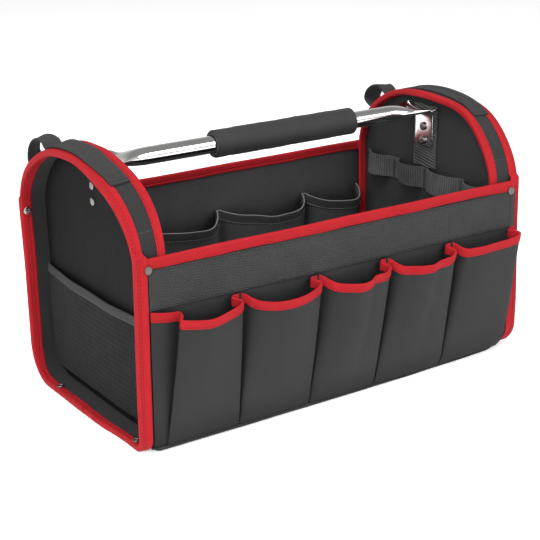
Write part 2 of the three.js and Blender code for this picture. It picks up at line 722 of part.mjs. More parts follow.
function baseHoles({ side, screws }) {
  const hole = rod(BASE_SCREWS.hole, FLOOR - BASE_EDGE - 0.1, SCREW_SEAT + 4, upward);
  return screws.map((y) => moved(hole, side * (LENGTH / 2 - BASE_SCREWS.depth), y, 0));
}

// Assembly
const bag = new THREE.Group();
bag.name = "tool_bag";

// The back draws in towards the floor
function leant(geometry) {
  const at = geometry.getAttribute("position");
  for (let i = 0; i < at.count; i += 1) {
    const low = 1 - Math.min(at.getZ(i), ARCH_SPRING) / ARCH_SPRING;
    if (at.getY(i) > 0) at.setY(i, at.getY(i) * (1 - BACK_LEAN * low));
  }
  return geometry;
}

function add(name, finish, geometry) {
  const material = new THREE.MeshStandardMaterial({ ...FINISHES[finish], name: finish, flatShading: true });
  const mesh = new THREE.Mesh(leant(geometry), material);
  mesh.name = name;
  bag.add(mesh);
}

const sides = ENDS.map((end) => end.side);
add("base", "cloth", cut(basePanel(), ENDS.flatMap(baseHoles)));
for (const edge of ["front", "back"]) {
  const dir = edge === "front" ? -1 : 1;
  const holes = sides.map((side) => rivetHole(side, dir));
  add(`${edge}_wall`, "cloth", cut(longWall(edge), holes));
  add(`${edge}_top_binding`, "tape", cut(topBinding(edge), holes));
}

const frontGrids = pocketGrids(
  "front", FRONT_POCKETS, FRONT_MOUTH, ({ folds }) => FRONT_FOLD_SETS[folds], POCKET_TAPE,
);
frontGrids.forEach((grid, i) => add(`front_pocket_${i + 1}`, "cloth", clothAbout(grid, CLOTH)));
add("front_pocket_binding", "tape", tapeOver(joined(frontGrids), CLOTH, TAPE));
add("front_webbing", "webbing", cut(frontWebbing(), sides.map((side) => rivetHole(side, -1))));

const insideGrids = pocketGrids("back", INSIDE_POCKETS, INSIDE_MOUTH, () => INSIDE_FOLDS, HEM);
insideGrids.forEach((grid, i) => add(`inside_pocket_${i + 1}`, "cloth", clothAbout(grid, CLOTH)));
add("inside_pocket_hem", "cloth", tapeOver(joined(insideGrids), CLOTH, 0.6));

for (const end of ENDS) {
  const { name, side } = end;
  const rivets = [-1, 1].map((dir) => rivetHole(side, dir));
  const screws = baseHoles(end);
  add(`${name}_gusset`, "cloth", cut(gusset(end), [...rivets, ...screws]));
  add(`${name}_outer_binding`, "tape", cut(outerBinding(end), [...rivets, ...screws]));
  add(`${name}_inner_binding`, "tape", innerBinding(end));
  add(`${name}_panel`, "cloth", cut(endPanel(end), bracketHoles(side)));
  add(`${name}_mesh_pocket`, "net", clothAbout(netGrid(end), NET));
  add(`${name}_mesh_hem`, "cloth", tapeOver(netGrid(end), NET, 0.8));
  add(`${name}_elastic`, "webbing", clothAbout(elasticGrid(end), ELASTIC));
  add(`${name}_anchor`, "webbing", cut(anchor(end), bracketHoles(side)));
  add(`${name}_strap`, "webbing", clothAbout(strapGrid(end), STRAP));
  BRACKET_SCREWS.heights.forEach((z, i) => {
    const screw = turned(BRACKET_PROFILE, alongX(side));
    const x = side * (LENGTH / 2 - LEG_INSIDE);
    add(`${name}_bracket_screw_${i + 1}`, "steel", moved(screw, x, HANDLE_Y, z));
  });
  for (const [edge, dir] of [["front", -1], ["back", 1]]) {
    const rivet = turned(RIVET_PROFILE, alongY(dir));
    add(`${name}_${edge}_rivet`, "steel", moved(rivet, rivetX(side, dir), dir * HALF_DEPTH, CORNER_RIVETS.z));
  }
  end.screws.forEach((y, i) => {
    const x = side * (LENGTH / 2 - BASE_SCREWS.depth);
    add(`${name}_base_screw_${i + 1}`, "steel", moved(turned(BASE_SCREW_PROFILE, upward), x, y, 0));
  });
}

add("handle_tube", "chrome", cut(handleTube(), sides.flatMap(bracketHoles)));
add("handle_grip", "foam", handleGrip());

export default bag;
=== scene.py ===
import math
from types import SimpleNamespace

import bpy
import numpy as np
from mathutils import Matrix
from mathutils.geometry import delaunay_2d_cdt


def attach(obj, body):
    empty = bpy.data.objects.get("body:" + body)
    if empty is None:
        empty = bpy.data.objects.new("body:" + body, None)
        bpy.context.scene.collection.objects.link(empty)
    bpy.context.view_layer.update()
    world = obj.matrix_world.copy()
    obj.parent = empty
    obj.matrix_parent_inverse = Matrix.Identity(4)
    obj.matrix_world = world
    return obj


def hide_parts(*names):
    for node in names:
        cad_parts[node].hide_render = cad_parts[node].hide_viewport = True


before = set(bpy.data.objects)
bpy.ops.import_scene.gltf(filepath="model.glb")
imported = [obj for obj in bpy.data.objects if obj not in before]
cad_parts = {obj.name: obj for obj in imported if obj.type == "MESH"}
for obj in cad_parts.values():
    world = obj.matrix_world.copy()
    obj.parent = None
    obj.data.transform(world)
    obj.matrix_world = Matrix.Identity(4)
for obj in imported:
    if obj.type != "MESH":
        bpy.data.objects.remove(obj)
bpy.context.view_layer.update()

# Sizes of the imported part, in millimetres
MM = 0.001
LENGTH, DEPTH = 500.0, 251.0
WALL_TOP, ARCH_TOP, ARCH_SPRING = 204.0, 284.5, 199.9
GUSSET_WIDTH, END_RECESS, BACK_LEAN, ARCH_LIFT = 40.0, 28.6, 0.04, 5.0
GAP, TAPE, WALL, BASE = 0.3, 1.0, 2.2, 1.4
PAD, SIDE_PAD, FLAT_PAD, PANEL, PAD_TURN = 4.6, 1.2, 1.2, 2.5, 36.0
HANDLE_Y, HANDLE_Z = 3.5, 266.7
OUTER_TAPE, SIDE_TAPE, FLOOR_TAPE, INNER_TAPE, TOP_TAPE = 12.0, 14.4, 8.5, 10.0, 11.0
SKIN = GAP + TAPE
WALL_IN = 2 * SKIN + GAP
WALL_OUT = WALL_IN + WALL
BASE_IN = SKIN + GAP
BASE_EDGE = BASE_IN + BASE
FLOOR = BASE_EDGE + SKIN
HALF = DEPTH / 2 - WALL_OUT
ARCH_RISE = ARCH_TOP - SKIN - ARCH_SPRING
FREE = LENGTH / 2 - SIDE_TAPE - GAP
END_FACE = LENGTH / 2 - END_RECESS
BAND_FACE = END_FACE - PANEL - GAP
SIDE_OF = dict(front=-1, back=1)

# Each end: side, rounding of its bottom corners, places of its base screws
ENDS = [
    SimpleNamespace(name="left", side=-1, front=9.0, back=36.0, screws=(-104.0, 63.0)),
    SimpleNamespace(name="right", side=1, front=24.0, back=32.0, screws=(-88.0, 60.0)),
]
CORNER_GROWTH = dict(front=3, back=1)

# Pitch of ribs that show both in the shape and in the material
ANCHOR_RIB, ANCHOR_SLANT, ELASTIC_RIB, STRAP_RIB = 3.7, 0.16, 2.9, 2.1

# How far the front edge of each end is moved along the bag: height, left, right
DRAWN = np.array([
    (0, 4.0, 2.0), (20, 4.0, 4.5), (60, 4.1, 5.0), (110, 4.3, 3.0), (150, 4.9, 1.0), (198, 5.0, 0),
    (222, 3.6, 0), (250, 1.8, 0), (278, 0, 0)])
# Moves of the left and the right arch: front quarter along, across and up, back edge out
FRONT_ALONG, FRONT_ACROSS, FRONT_UP, BACK_OUT = (0, 1.5), (0, -3), (-3.4, 2), (3.4, 0)
# Drop of the left and the right arch's top, at its outer and its inner edge
DROP_OUTER, DROP_INNER = (2, 0.3), (4.4, 2.4)

# Bends across a front pocket: place along it, distance out, drop of the mouth
FLANK = [
    (0.02, 0, 0), (0.037, 0.7, 0.5), (0.062, 2.4, 1.5), (0.086, 6.2, 3.5), (0.114, 10, 5.2),
    (0.155, 13.4, 6.8), (0.26, 18, 8.4)]
WIDE_FLANK = [
    (0.02, 0, 0), (0.04, 0.6, 0.5), (0.07, 2.2, 1.7), (0.1, 5.8, 3.7), (0.13, 9.6, 5.4), (0.175, 13.4, 7.2),
    (0.27, 18, 9)]
PLEAT = [
    (0.84, 19.5, 6.6), (0.905, 16, 6), (0.94, 13.4, 5.3), (0.96, 11.6, 4.2), (0.956, 10, 3),
    (0.92, 6.5, 1.2), (0.9, 3.4, 0.5), (0.92, 1.2, 0), (0.97, 0, 0)]
FOLDS = [
    [(0.005, 0, -1.5), (0.14, 3, 0.4), (0.25, 3.6, 1.6), (0.31, 3.6, 2.4), (0.322, 5, 3), (0.312, 9.4, 4),
     (0.28, 14.5, 5), (0.268, 17, 5.4), (0.27, 18.6, 5.8), (0.3, 20.4, 6.4), (0.4, 23.5, 7.8),
     (0.55, 25.5, 8.4), (0.73, 23, 7.2), *PLEAT],
    [*FLANK, (0.36, 21.5, 9.2), (0.54, 25, 9.2), (0.73, 23.5, 7.6), *PLEAT],
    [*WIDE_FLANK, (0.33, 21.5, 9.8), (0.45, 26, 10.6), (0.56, 26, 9), (0.65, 23, 5.6), (0.76, 22.6, 5.8),
     *PLEAT],
    [*FLANK, (0.34, 22, 9.4), (0.5, 25.5, 8.8), (0.61, 24, 6.2), (0.74, 23, 6), *PLEAT],
    [*FLANK[:5], (0.15, 13, 6.2), (0.22, 14.8, 6.6), (0.34, 17, 6.6), (0.43, 18, 6), (0.53, 18, 5.2),
     (0.77, 17, 5), (0.96, 15, 4.4), (1.03, 12.5, 3.2), (1.05, 10.5, 2.6), (1.04, 8.6, 1.8),
     (0.985, 4.6, 0.6), (0.965, 0, 0)],
]
# Front pockets, with their seams at the mouth and at the foot
FRONT = SimpleNamespace(
    name="front_pocket", edge="front", top=147.5, foot=8.0, lift=7.5, scale=1, pull=0.075, folds=FOLDS,
    seams=[-235.2, -130.0, -35.0, 56.0, 147.7, 236.0], feet=[-235.2, -134.0, -46.0, 41.0, 136.0, 228.0])

# Pockets inside on the back wall
INSIDE_FOLD = [
    (0.02, 0, 0), (0.07, 5, 2.6), (0.2, 13, 6.4), (0.4, 20, 9.8), (0.6, 25, 12.2), (0.74, 25.5, 12.2),
    (0.85, 21.5, 9.8), (0.925, 14, 5.6), (0.962, 7, 2.4), (0.978, 2.4, 0.8), (0.98, 0, 0)]
INSIDE_SEAMS = [-206.5, -124.5, 0.0, 124.5, 206.5]
INSIDE = SimpleNamespace(
    name="inside_pocket", edge="back", top=148.5, foot=14.0, lift=0.9, scale=-1, pull=0,
    folds=[INSIDE_FOLD] * 4, seams=INSIDE_SEAMS, feet=INSIDE_SEAMS)

MAP = "cloth"  # the map that gives each corner its place on the flat cloth, in millimetres


# Numbers and points

def mix(a, b, t):
    return a + (b - a) * t


def ease(low, high, x):
    """Smooth step from 0 at low to 1 at high. low may be the greater one."""
    t = np.clip((np.asarray(x, float) - low) / (high - low), 0, 1)
    return t * t * (3 - 2 * t)


def unit(v):
    return v / np.maximum(np.linalg.norm(v, axis=-1, keepdims=True), 1e-9)


def circle(count):
    """Angles once round, evenly spaced."""
    return np.linspace(0, 2 * np.pi, count, endpoint=False)


def belly(along, up):
    """Swell of a sewn panel, 1 in its middle and 0 at its edges: along from -1 to 1, up from 0 to 1."""
    return np.cos(np.clip(along, -1, 1) * np.pi / 2) * np.sin(np.clip(up, 0, 1) * np.pi)


def spots(x, y, z):
    """Points from places along, across and up, spread over one another."""
    return np.stack(np.broadcast_arrays(x, y, z), -1)


def waver(points, size, seed):
    """Smooth waves of about that size over points, from about -1 to 1."""
    rng = np.random.default_rng(seed)
    total = 0.0
    for _ in range(5):
        way = unit(rng.normal(size=3))
        rate = 2 * np.pi / (size * rng.uniform(0.7, 1.6))
        total = total + np.sin(np.asarray(points, float) @ way * rate + rng.uniform(0, 2 * np.pi))
    return total / 2.4


def smooth(points, per):
    """A curve through points that bends without overshooting, with per steps between each two."""
    p = np.asarray(points, float)
    p = np.concatenate([[2 * p[0] - p[1]], p, [2 * p[-1] - p[-2]]])
    knots = np.concatenate([[0], np.cumsum(np.sqrt(np.linalg.norm(np.diff(p, axis=0), axis=1)) + 1e-6)])
    line = []
    for i in range(1, len(p) - 2):
        k, layer = knots[i - 1:i + 3], p[i - 1:i + 3]
        t = np.linspace(k[1], k[2], per, endpoint=False)[:, None]
        for lows, highs in ((k[:3], k[1:]), (k[:2], k[2:]), (k[1:2], k[2:3])):
            layer = [(high - t) / (high - low) * a + (t - low) / (high - low) * b
                     for low, high, a, b in zip(lows, highs, layer, layer[1:])]
        line.append(layer[0])
    return np.concatenate([*line, p[-2:-1]])


def run(points):
    """Distance along a line of points."""
    return np.concatenate([[0], np.cumsum(np.linalg.norm(np.diff(points, axis=0), axis=1))])


def sample(values, s, at):
    """Values known at the distances s along a line, read at other distances."""
    return np.stack([np.interp(at, s, values[:, k]) for k in range(values.shape[1])], 1)


def even(points, step):
    """The same line with points at even steps."""
    s = run(points)
    return sample(points, s, np.linspace(0, s[-1], max(2, int(round(s[-1] / step)) + 1)))


def normals(grid):
    return unit(np.cross(np.gradient(grid, axis=1), np.gradient(grid, axis=0)))


def leant(points):
    """The back draws in towards the floor."""
    p = np.array(points, float)
    low = 1 - np.minimum(p[..., 2], ARCH_SPRING) / ARCH_SPRING
    p[..., 1] = np.where(p[..., 1] > 0, p[..., 1] * (1 - BACK_LEAN * low), p[..., 1])
    return p


def settled(points):
    """The ends as they stand: front edges drawn along the bag, arches slack on top.
    The left arch is slack in front too, and the right one is full there."""
    p = np.array(points, float)
    x, y, z = np.moveaxis(p, -1, 0).copy()
    left, depth = x < 0, LENGTH / 2 - np.abs(x)
    at_end, inner = (depth > -2) & (depth < GUSSET_WIDTH + 6), np.clip(depth / GUSSET_WIDTH, 0, 1)
    own = lambda pair: np.where(left, *pair)
    drawn = own([np.interp(z, DRAWN[:, 0], DRAWN[:, k]) for k in (1, 2)])
    high = at_end * ease(205, 234, z)
    top = high * ease(60, 5, y) * ease(-75, -20, y)
    front = high * ease(-10, -60, y) * ease(-116, -64, y)
    back = at_end * (1 - inner) * ease(70, 105, y) * ease(120, 215, z)
    p[..., 0] += at_end * drawn * ease(-30, -90, y) * (1 - inner) + own(FRONT_ALONG) * front
    p[..., 1] += own(BACK_OUT) * back + own(FRONT_ACROSS) * front
    p[..., 2] += own(FRONT_UP) * front - mix(own(DROP_OUTER), own(DROP_INNER), inner) * top
    return p


# Materials of the handle and its screws, which keep their place where the cloth settles
RIGID = ("chrome", "screw_steel")
# Angle in degrees from which an edge shows as sharp
SHARP = 48


# Meshes

def make(name, points, faces, maps, material):
    """An object from points in millimetres, groups of faces, and each corner's place on the cloth."""
    points = leant(points if material.name in RIGID else settled(points))
    volume = 0.0
    for group in faces:
        a = points[group[:, 0]]
        for k in range(1, group.shape[1] - 1):
            volume += float((a * np.cross(points[group[:, k]], points[group[:, k + 1]])).sum())
    if volume < 0:
        faces = [f[:, ::-1] for f in faces]
        maps = None if maps is None else [m[:, ::-1] for m in maps]
    mesh = bpy.data.meshes.new(name)
    mesh.from_pydata((points * MM).tolist(), [], [face for group in faces for face in group.tolist()])
    if maps is not None:
        corners = np.concatenate([m.reshape(-1, 2) for m in maps])
        mesh.uv_layers.new(name=MAP).data.foreach_set("uv", corners.astype(np.float32).ravel())
    mesh.materials.append(material)
    mesh.polygons.foreach_set("use_smooth", [True] * len(mesh.polygons))
    mesh.set_sharp_from_angle(angle=math.radians(SHARP))
    made = bpy.data.objects.new(name, mesh)
    bpy.context.collection.objects.link(made)
    return made


def cells(rows, cols):
    """Rows and columns of the four corners of each cell of a grid."""
    r, c = (a.reshape(-1, 1) for a in np.meshgrid(np.arange(rows), np.arange(cols), indexing="ij"))
    return r + [[0, 0, 1, 1]], c + [[0, 1, 1, 0]]


def ring_faces(rows, count):
    """Faces between closed rings of points, and the two caps."""
    r, k = cells(rows - 1, count)
    cap = np.arange(count)[None]
    return [r * count + k % count, cap[:, ::-1], cap + (rows - 1) * count]


def flat_places(grid, loop=False):
    """Place of each grid point on the flat cloth, with one row more than the grid where it closes."""
    full = np.concatenate([grid, grid[:1]]) if loop else grid
    across = np.linalg.norm(np.diff(full, axis=1), axis=-1).mean(0)
    along = np.linalg.norm(np.diff(full, axis=0), axis=-1).mean(1)
    u, v = np.concatenate([[0], np.cumsum(across)]), np.concatenate([[0], np.cumsum(along)])
    return np.stack(np.meshgrid(u, v), -1)


def shell(name, skin, lining, material, loop=False, places=None):
    """Two facing grids closed round their edges into one sheet. loop joins the last row to the first."""
    rows, cols = skin.shape[:2]
    n = rows * cols
    places = flat_places(skin, loop) if places is None else places
    r, c = cells(rows if loop else rows - 1, cols - 1)
    at, on = (r % rows) * cols + c, places[r, c]
    faces, maps = [at, at[:, ::-1] + n], [on, on[:, ::-1]]

    def rim(r, c, r_next, c_next):
        a, b = (r % rows) * cols + c, (r_next % rows) * cols + c_next
        on_a, on_b = places[r, c], places[r_next, c_next]
        faces.append(np.stack([a, b, b + n, a + n], 1))
        maps.append(np.stack([on_a, on_b, on_b, on_a], 1))

    k = np.arange(rows if loop else rows - 1)
    rim(k, 0, k + 1, 0)
    rim(k + 1, cols - 1, k, cols - 1)
    if not loop:
        k, first, last = np.arange(cols - 1), np.full(cols - 1, 0), np.full(cols - 1, rows - 1)
        rim(first, k + 1, first, k)
        rim(last, k, last, k + 1)
    return make(name, np.concatenate([skin.reshape(-1, 3), lining.reshape(-1, 3)]), faces, maps, material)


def cloth(name, grid, thick, material, relief=0.0, places=None):
    """A sheet of even thickness about a grid. relief raises both faces."""
    n = normals(grid)
    off = np.broadcast_to(np.asarray(thick / 2 + relief), grid.shape[:2])[..., None]
    return shell(name, grid + n * off, grid - n * off, material, places=places)


def loft(name, rings, material):
    """Closed rings of points joined along, with a cap at each end."""
    rows, count = rings.shape[:2]
    places = flat_places(np.concatenate([rings, rings[:, :1]], 1))
    maps = [places[cells(rows - 1, count)], places[0, :-1][None, ::-1], places[-1, :-1][None]]
    return make(name, rings.reshape(-1, 3), ring_faces(rows, count), maps, material)


def tube(points, radius, sides):
    """Rings of a round cord along a line of points."""
    way = unit(np.gradient(points, axis=0))
    side = unit(np.cross(way, np.where(np.abs(way[:, 2:]) < 0.9, [[0, 0, 1.0]], [[0, 1.0, 0]])))
    up = np.cross(side, way)
    a = circle(sides)[None, :, None]
    return points[:, None] + radius * (np.cos(a) * side[:, None] + np.sin(a) * up[:, None])


# Profile of one stitch: place along it, thickness, height
STITCH = np.array([(-0.5, 0.35, -0.35), (-0.28, 1, 0.15), (0.28, 1, 0.15), (0.5, 0.35, -0.35)])
STITCH_SIDES = 5


def threads(name, places, material, wide=0.42, high=0.36):
    """Single stitches, each at a centre with a direction, a normal and a length."""
    centre, way, up, length = (np.concatenate([np.asarray(p[i], float) for p in places]) for i in range(4))
    side = np.cross(way, up)
    q = circle(STITCH_SIDES)
    a = np.repeat(STITCH[:, 0], STITCH_SIDES)
    b = np.outer(STITCH[:, 1], np.cos(q)).ravel() * wide
    c = (STITCH[:, 2:] + np.outer(STITCH[:, 1], np.sin(q))).ravel() * high
    points = (centre[:, None] + (a * length[:, None])[..., None] * way[:, None]
              + b[None, :, None] * side[:, None] + c[None, :, None] * up[:, None])
    quads, *caps = ring_faces(len(STITCH), STITCH_SIDES)
    start = (np.arange(len(centre)) * len(a))[:, None, None]
    faces = [(quads + start).reshape(-1, 4), (np.concatenate(caps) + start).reshape(-1, STITCH_SIDES)]
    return make(name, points.reshape(-1, 3), faces, None, material)


def seam(points, up, length=2.9, gap=1.3):
    """Places of stitches along a line on a surface, from its points and its normal or normals."""
    s = run(points)
    at = np.arange((length + gap) / 2, s[-1] - length / 2, length + gap)
    way = unit(sample(points, s, at + length / 2) - sample(points, s, at - length / 2))
    lift = sample(np.broadcast_to(up, points.shape), s, at)
    lift = unit(lift - way * (lift * way).sum(1, keepdims=True))
    return sample(points, s, at), way, lift, np.full(len(at), length)


def bar_tack(centre, way, up, wide, tall, count=12):
    """Places of close stitches side by side."""
    t = np.linspace(-0.5, 0.5, count)[:, None]
    across = np.cross(up, way)
    return centre + t * wide * across, np.tile(way, (count, 1)), np.tile(up, (count, 1)), np.full(count, tall)


# Materials from nodes

class Nodes:
    """A node tree, built step by step."""

    def __init__(self, tree):
        self.tree = tree

    def put(self, socket, value):
        if isinstance(value, bpy.types.NodeSocket):
            self.tree.links.new(value, socket)
        else:
            socket.default_value = value

    def node(self, kind, *values, operation=None, **named):
        """A new node, with inputs set by their order or by name."""
        node = self.tree.nodes.new("ShaderNode" + kind)
        if operation:
            node.operation = operation
        for key, value in [*enumerate(values), *named.items()]:
            self.put(node.inputs[key], value)
        return node

    def math(self, operation, *values):
        return self.node("Math", *values, operation=operation).outputs[0]

    def ramp(self, value, *stops):
        node = self.node("ValToRGB", value)
        parts = node.color_ramp.elements
        while len(parts) < len(stops):
            parts.new(0.5)
        for part, (at, colour) in zip(parts, stops):
            part.position = at
            part.color = (*colour, 1)
        return node.outputs[0]


class Shader(Nodes):
    """A node material. Sizes are in millimetres."""

    def __init__(self, name):
        self.material = bpy.data.materials.new(name)
        self.material.use_nodes = True
        super().__init__(self.material.node_tree)
        self.surface = self.tree.nodes["Principled BSDF"]
        self.spot = self.node("TexCoord").outputs["Object"]

    def cloth(self):
        """Place on the flat cloth, across and along."""
        place = self.node("UVMap")
        place.uv_map = MAP
        split = self.node("SeparateXYZ", place.outputs[0])
        return split.outputs[0], split.outputs[1]

    def noise(self, size, detail, stretch=None):
        """Noise with lumps of about that size."""
        place = self.node("Mapping", self.spot, Scale=stretch).outputs[0] if stretch else self.spot
        return self.node("TexNoise", place, Scale=1000.0 / size, Detail=detail).outputs["Fac"]

    def cells(self, size):
        return self.node("TexVoronoi", self.spot, Scale=1000.0 / size).outputs["Distance"]

    def wave(self, place, pitch):
        """A wave of that pitch, from -1 to 1."""
        return self.math("SINE", self.math("MULTIPLY", place, 2 * math.pi / pitch))

    def blend(self, a, b, share=0.5):
        """Two noises together, with that share of the first."""
        return self.math("ADD", self.math("MULTIPLY", a, share), self.math("MULTIPLY", b, 1 - share))

    def varied(self, tone, *noises):
        """A tone moved up and down by noises, each with its amount."""
        for noise, amount in noises:
            tone = self.math("ADD", tone, self.math("MULTIPLY", self.math("SUBTRACT", noise, 0.5), amount))
        return tone

    def range(self, value, low, high, start=0.0, end=1.0):
        limits = {"From Min": start, "From Max": end, "To Min": low, "To Max": high}
        return self.node("MapRange", value, **limits).outputs[0]

    def bump(self, height, depth):
        node = self.node("Bump", Strength=1.0, Distance=depth * MM, Height=height)
        self.put(self.surface.inputs["Normal"], node.outputs[0])

    def done(self, **values):
        for key, value in values.items():
            self.put(self.surface.inputs[key.replace("_", " ").title().replace("Ior", "IOR")], value)
        return self.material


def woven(name, dark, light, pitch, sheen=0.04, depth=0.18, contrast=0.16, specular=0.22, painted_shade_reach=None):
    """Plain woven cloth: crossed threads, uneven dye, a dusty bloom, and painted shade in folds within that
    reach.
    """
    s = Shader(name)
    u, v = s.cloth()
    weave = s.math("MULTIPLY", s.wave(u, 2 * pitch), s.wave(v, 2 * pitch))
    lumps, dust, grain = s.noise(38, 3), s.noise(7, 3), s.noise(0.9, 1)
    tone = s.varied(s.math("MULTIPLY_ADD", weave, contrast, 0.5), (lumps, 0.4), (dust, 0.28), (grain, 0.6))
    s.bump(s.math("ADD", weave, s.math("MULTIPLY", grain, 1.4)), depth)
    colour = s.ramp(tone, (0.1, dark), (0.9, light))
    if painted_shade_reach:
        # Painted shade: the colour is darkened where ambient occlusion finds other surfaces near, in folds,
        # creases and corners.
        painted_shade_ao = s.node("AmbientOcclusion", Distance=painted_shade_reach * MM)
        painted_shade_ao.samples = 8
        shade = s.range(painted_shade_ao.outputs["AO"], 0.05, 1.0, 0.38, 0.96)
        colour = s.node("VectorMath", colour, operation="SCALE", Scale=shade).outputs[0]
    return s.done(base_color=colour, roughness=s.range(dust, 0.78, 0.95), sheen_weight=sheen,
                  sheen_roughness=0.5, specular_ior_level=specular)


def ribbed(name, dark, light, pitch, cross, sheen=0.03, depth=0.2, weights=(0.13, 0.07), slant=0.0,
           specular=0.3):
    """Ribbed band or tape: ribs across it, fine threads over them, and rubbed places."""
    s = Shader(name)
    u, v = s.cloth()
    ribs, fine = s.wave(s.math("SUBTRACT", v, s.math("MULTIPLY", u, slant)), pitch), s.wave(u, cross)
    lumps, rub, grain = s.noise(22, 3), s.noise(5, 3), s.noise(0.8, 1)
    tone = s.math("ADD", s.math("MULTIPLY_ADD", ribs, weights[0], 0.5), s.math("MULTIPLY", fine, weights[1]))
    tone = s.varied(tone, (lumps, 0.5), (rub, 0.4), (grain, 0.4))
    s.bump(s.math("ADD", ribs, s.math("MULTIPLY", s.math("ADD", fine, grain), 0.5)), depth)
    return s.done(base_color=s.ramp(tone, (0.1, dark), (0.9, light)), roughness=s.range(rub, 0.7, 0.9),
                  sheen_weight=sheen, sheen_roughness=0.4, specular_ior_level=specular)


def thread(name, dark, light):
    """Twisted sewing thread."""
    s = Shader(name)
    lumps, twist = s.noise(9, 2), s.noise(0.5, 2)
    s.bump(twist, 0.15)
    return s.done(base_color=s.ramp(s.blend(lumps, twist), (0.25, dark), (0.75, light)),
                  roughness=s.range(lumps, 0.7, 0.9), specular_ior_level=0.2)


def metal(name, dark, light, rough, scratch=0.04, stretch=None, dull=None):
    """Plated metal with handling marks drawn out along it. dull = heights below which it is rougher."""
    s = Shader(name)
    marks, smear = s.noise(6, 4, stretch), s.noise(30, 3)
    tone = s.blend(marks, smear, 0.4)
    s.bump(marks, scratch)
    shine = s.range(tone, *rough, 0.25, 0.75)
    if dull:
        height = s.node("SeparateXYZ", s.spot).outputs[2]
        shine = s.math("ADD", shine, s.range(height, 0.07, 0.0, dull[0] * MM, dull[1] * MM))
    return s.done(base_color=s.ramp(tone, (0.2, dark), (0.8, light)), roughness=shine, metallic=1.0)


def foam(name):
    """Closed-cell foam: tiny cells and a rubbed skin."""
    s = Shader(name)
    pores, lumps, grain = s.cells(0.9), s.noise(26, 3), s.noise(2.2, 3)
    s.bump(s.math("ADD", pores, grain), 0.25)
    tone = s.blend(lumps, grain, 0.6)
    colour = s.ramp(tone, (0.25, (0.0075, 0.0075, 0.0078)), (0.8, (0.0162, 0.0162, 0.0168)))
    return s.done(base_color=colour, roughness=s.range(lumps, 0.55, 0.75), sheen_weight=0.04,
                  specular_ior_level=0.3)


def pale(name):
    """Pale studio floor."""
    s = Shader(name)
    lumps = s.noise(400, 2)
    s.bump(s.noise(3, 2), 0.02)
    return s.done(base_color=s.ramp(lumps, (0.2, (0.9, 0.9, 0.9)), (0.8, (0.94, 0.94, 0.94))),
                  roughness=s.range(lumps, 0.85, 0.95), specular_ior_level=0.1,
                  emission_color=(1, 1, 1, 1), emission_strength=0.35)


# Pitch of the weaves
WEAVE, FINE_WEAVE = 0.62, 0.55

CLOTH = woven("black_cloth", (0.008, 0.008, 0.0085), (0.019, 0.019, 0.02), WEAVE)
# Where a reach in millimetres is given, painted shade darkens the cloth's folds and corners within it.
BODY_CLOTH = woven("body_cloth", (0.025, 0.025, 0.0262), (0.053, 0.053, 0.0556), WEAVE, painted_shade_reach=40)
# Two copies of one black cloth for the end panels: a darker one as painted shade on the left panel's outside,
# and a lighter one as painted light on the right panel's inside.
SHADED_PANEL_CLOTH = woven("shaded_panel_cloth", (0.0057, 0.0057, 0.006), (0.013, 0.013, 0.0137), WEAVE, sheen=0.0,
                    specular=0.13, painted_shade_reach=22)
LIT_INNER_CLOTH = woven("lit_inner_panel_cloth", (0.0105, 0.0105, 0.0111), (0.0235, 0.0235, 0.0247), WEAVE, painted_shade_reach=22)
POCKET_CLOTH = woven("pocket_cloth", (0.0095, 0.0095, 0.0101), (0.0205, 0.0205, 0.0216), WEAVE, painted_shade_reach=40)
RED_TAPE = ribbed("red_tape", (0.262, 0.0046, 0.0088), (0.388, 0.0086, 0.0136), 0.8, 0.9, sheen=0.0,
                  depth=0.16, specular=0.18)
WEBBING = woven("grey_webbing", (0.006, 0.006, 0.006), (0.044, 0.044, 0.044), 1.4, depth=0.35, contrast=0.7)
STRAP_WEBBING = ribbed("black_webbing", (0.0095, 0.0095, 0.0099), (0.023, 0.023, 0.0237), 1.2, STRAP_RIB)
ANCHOR_WEBBING = ribbed("anchor_webbing", (0.005, 0.005, 0.005), (0.095, 0.095, 0.095), ANCHOR_RIB, 1.2,
                        weights=(0.28, 0.04), slant=ANCHOR_SLANT)
ELASTIC = ribbed("black_elastic", (0.008, 0.008, 0.008), (0.09, 0.09, 0.09), 1.3, ELASTIC_RIB,
                 weights=(0.05, 0.2))
HEM_CLOTH = woven("hem_cloth", (0.012, 0.012, 0.0125), (0.027, 0.027, 0.028), FINE_WEAVE)
NET_HEM = woven("net_hem_cloth", (0.014, 0.014, 0.0148), (0.033, 0.033, 0.0345), FINE_WEAVE)
NET = thread("net_thread", (0.0115, 0.0115, 0.012), (0.033, 0.033, 0.0342))
RED_THREAD = thread("red_thread", (0.1, 0.002, 0.005), (0.19, 0.0045, 0.009))
BLACK_THREAD = thread("black_thread", (0.005, 0.005, 0.006), (0.016, 0.016, 0.017))
DIM_THREAD = thread("dim_thread", (0.04, 0.04, 0.041), (0.085, 0.085, 0.086))
# Grey thread for the inside hem's stitches, also used for the cord that is a painted highlight along that
# hem's top edge.
GREY_THREAD_AND_HIGHLIGHT = thread("grey_thread_and_highlight", (0.09, 0.09, 0.09), (0.19, 0.19, 0.19))
CHROME = metal("chrome", (0.66, 0.65, 0.64), (0.86, 0.855, 0.845), (0.05, 0.14), scratch=0.02,
               stretch=(0.15, 1, 1), dull=(252, 262))
STEEL = metal("gunmetal", (0.07, 0.066, 0.06), (0.165, 0.157, 0.142), (0.26, 0.42))
SCREW_STEEL = metal("screw_steel", (0.13, 0.123, 0.113), (0.32, 0.308, 0.29), (0.2, 0.34))
BRIGHT_STEEL = metal("bright_steel", (0.2, 0.19, 0.175), (0.4, 0.385, 0.36), (0.2, 0.34))
FOAM = foam("foam")
PALE = pale("pale_floor")


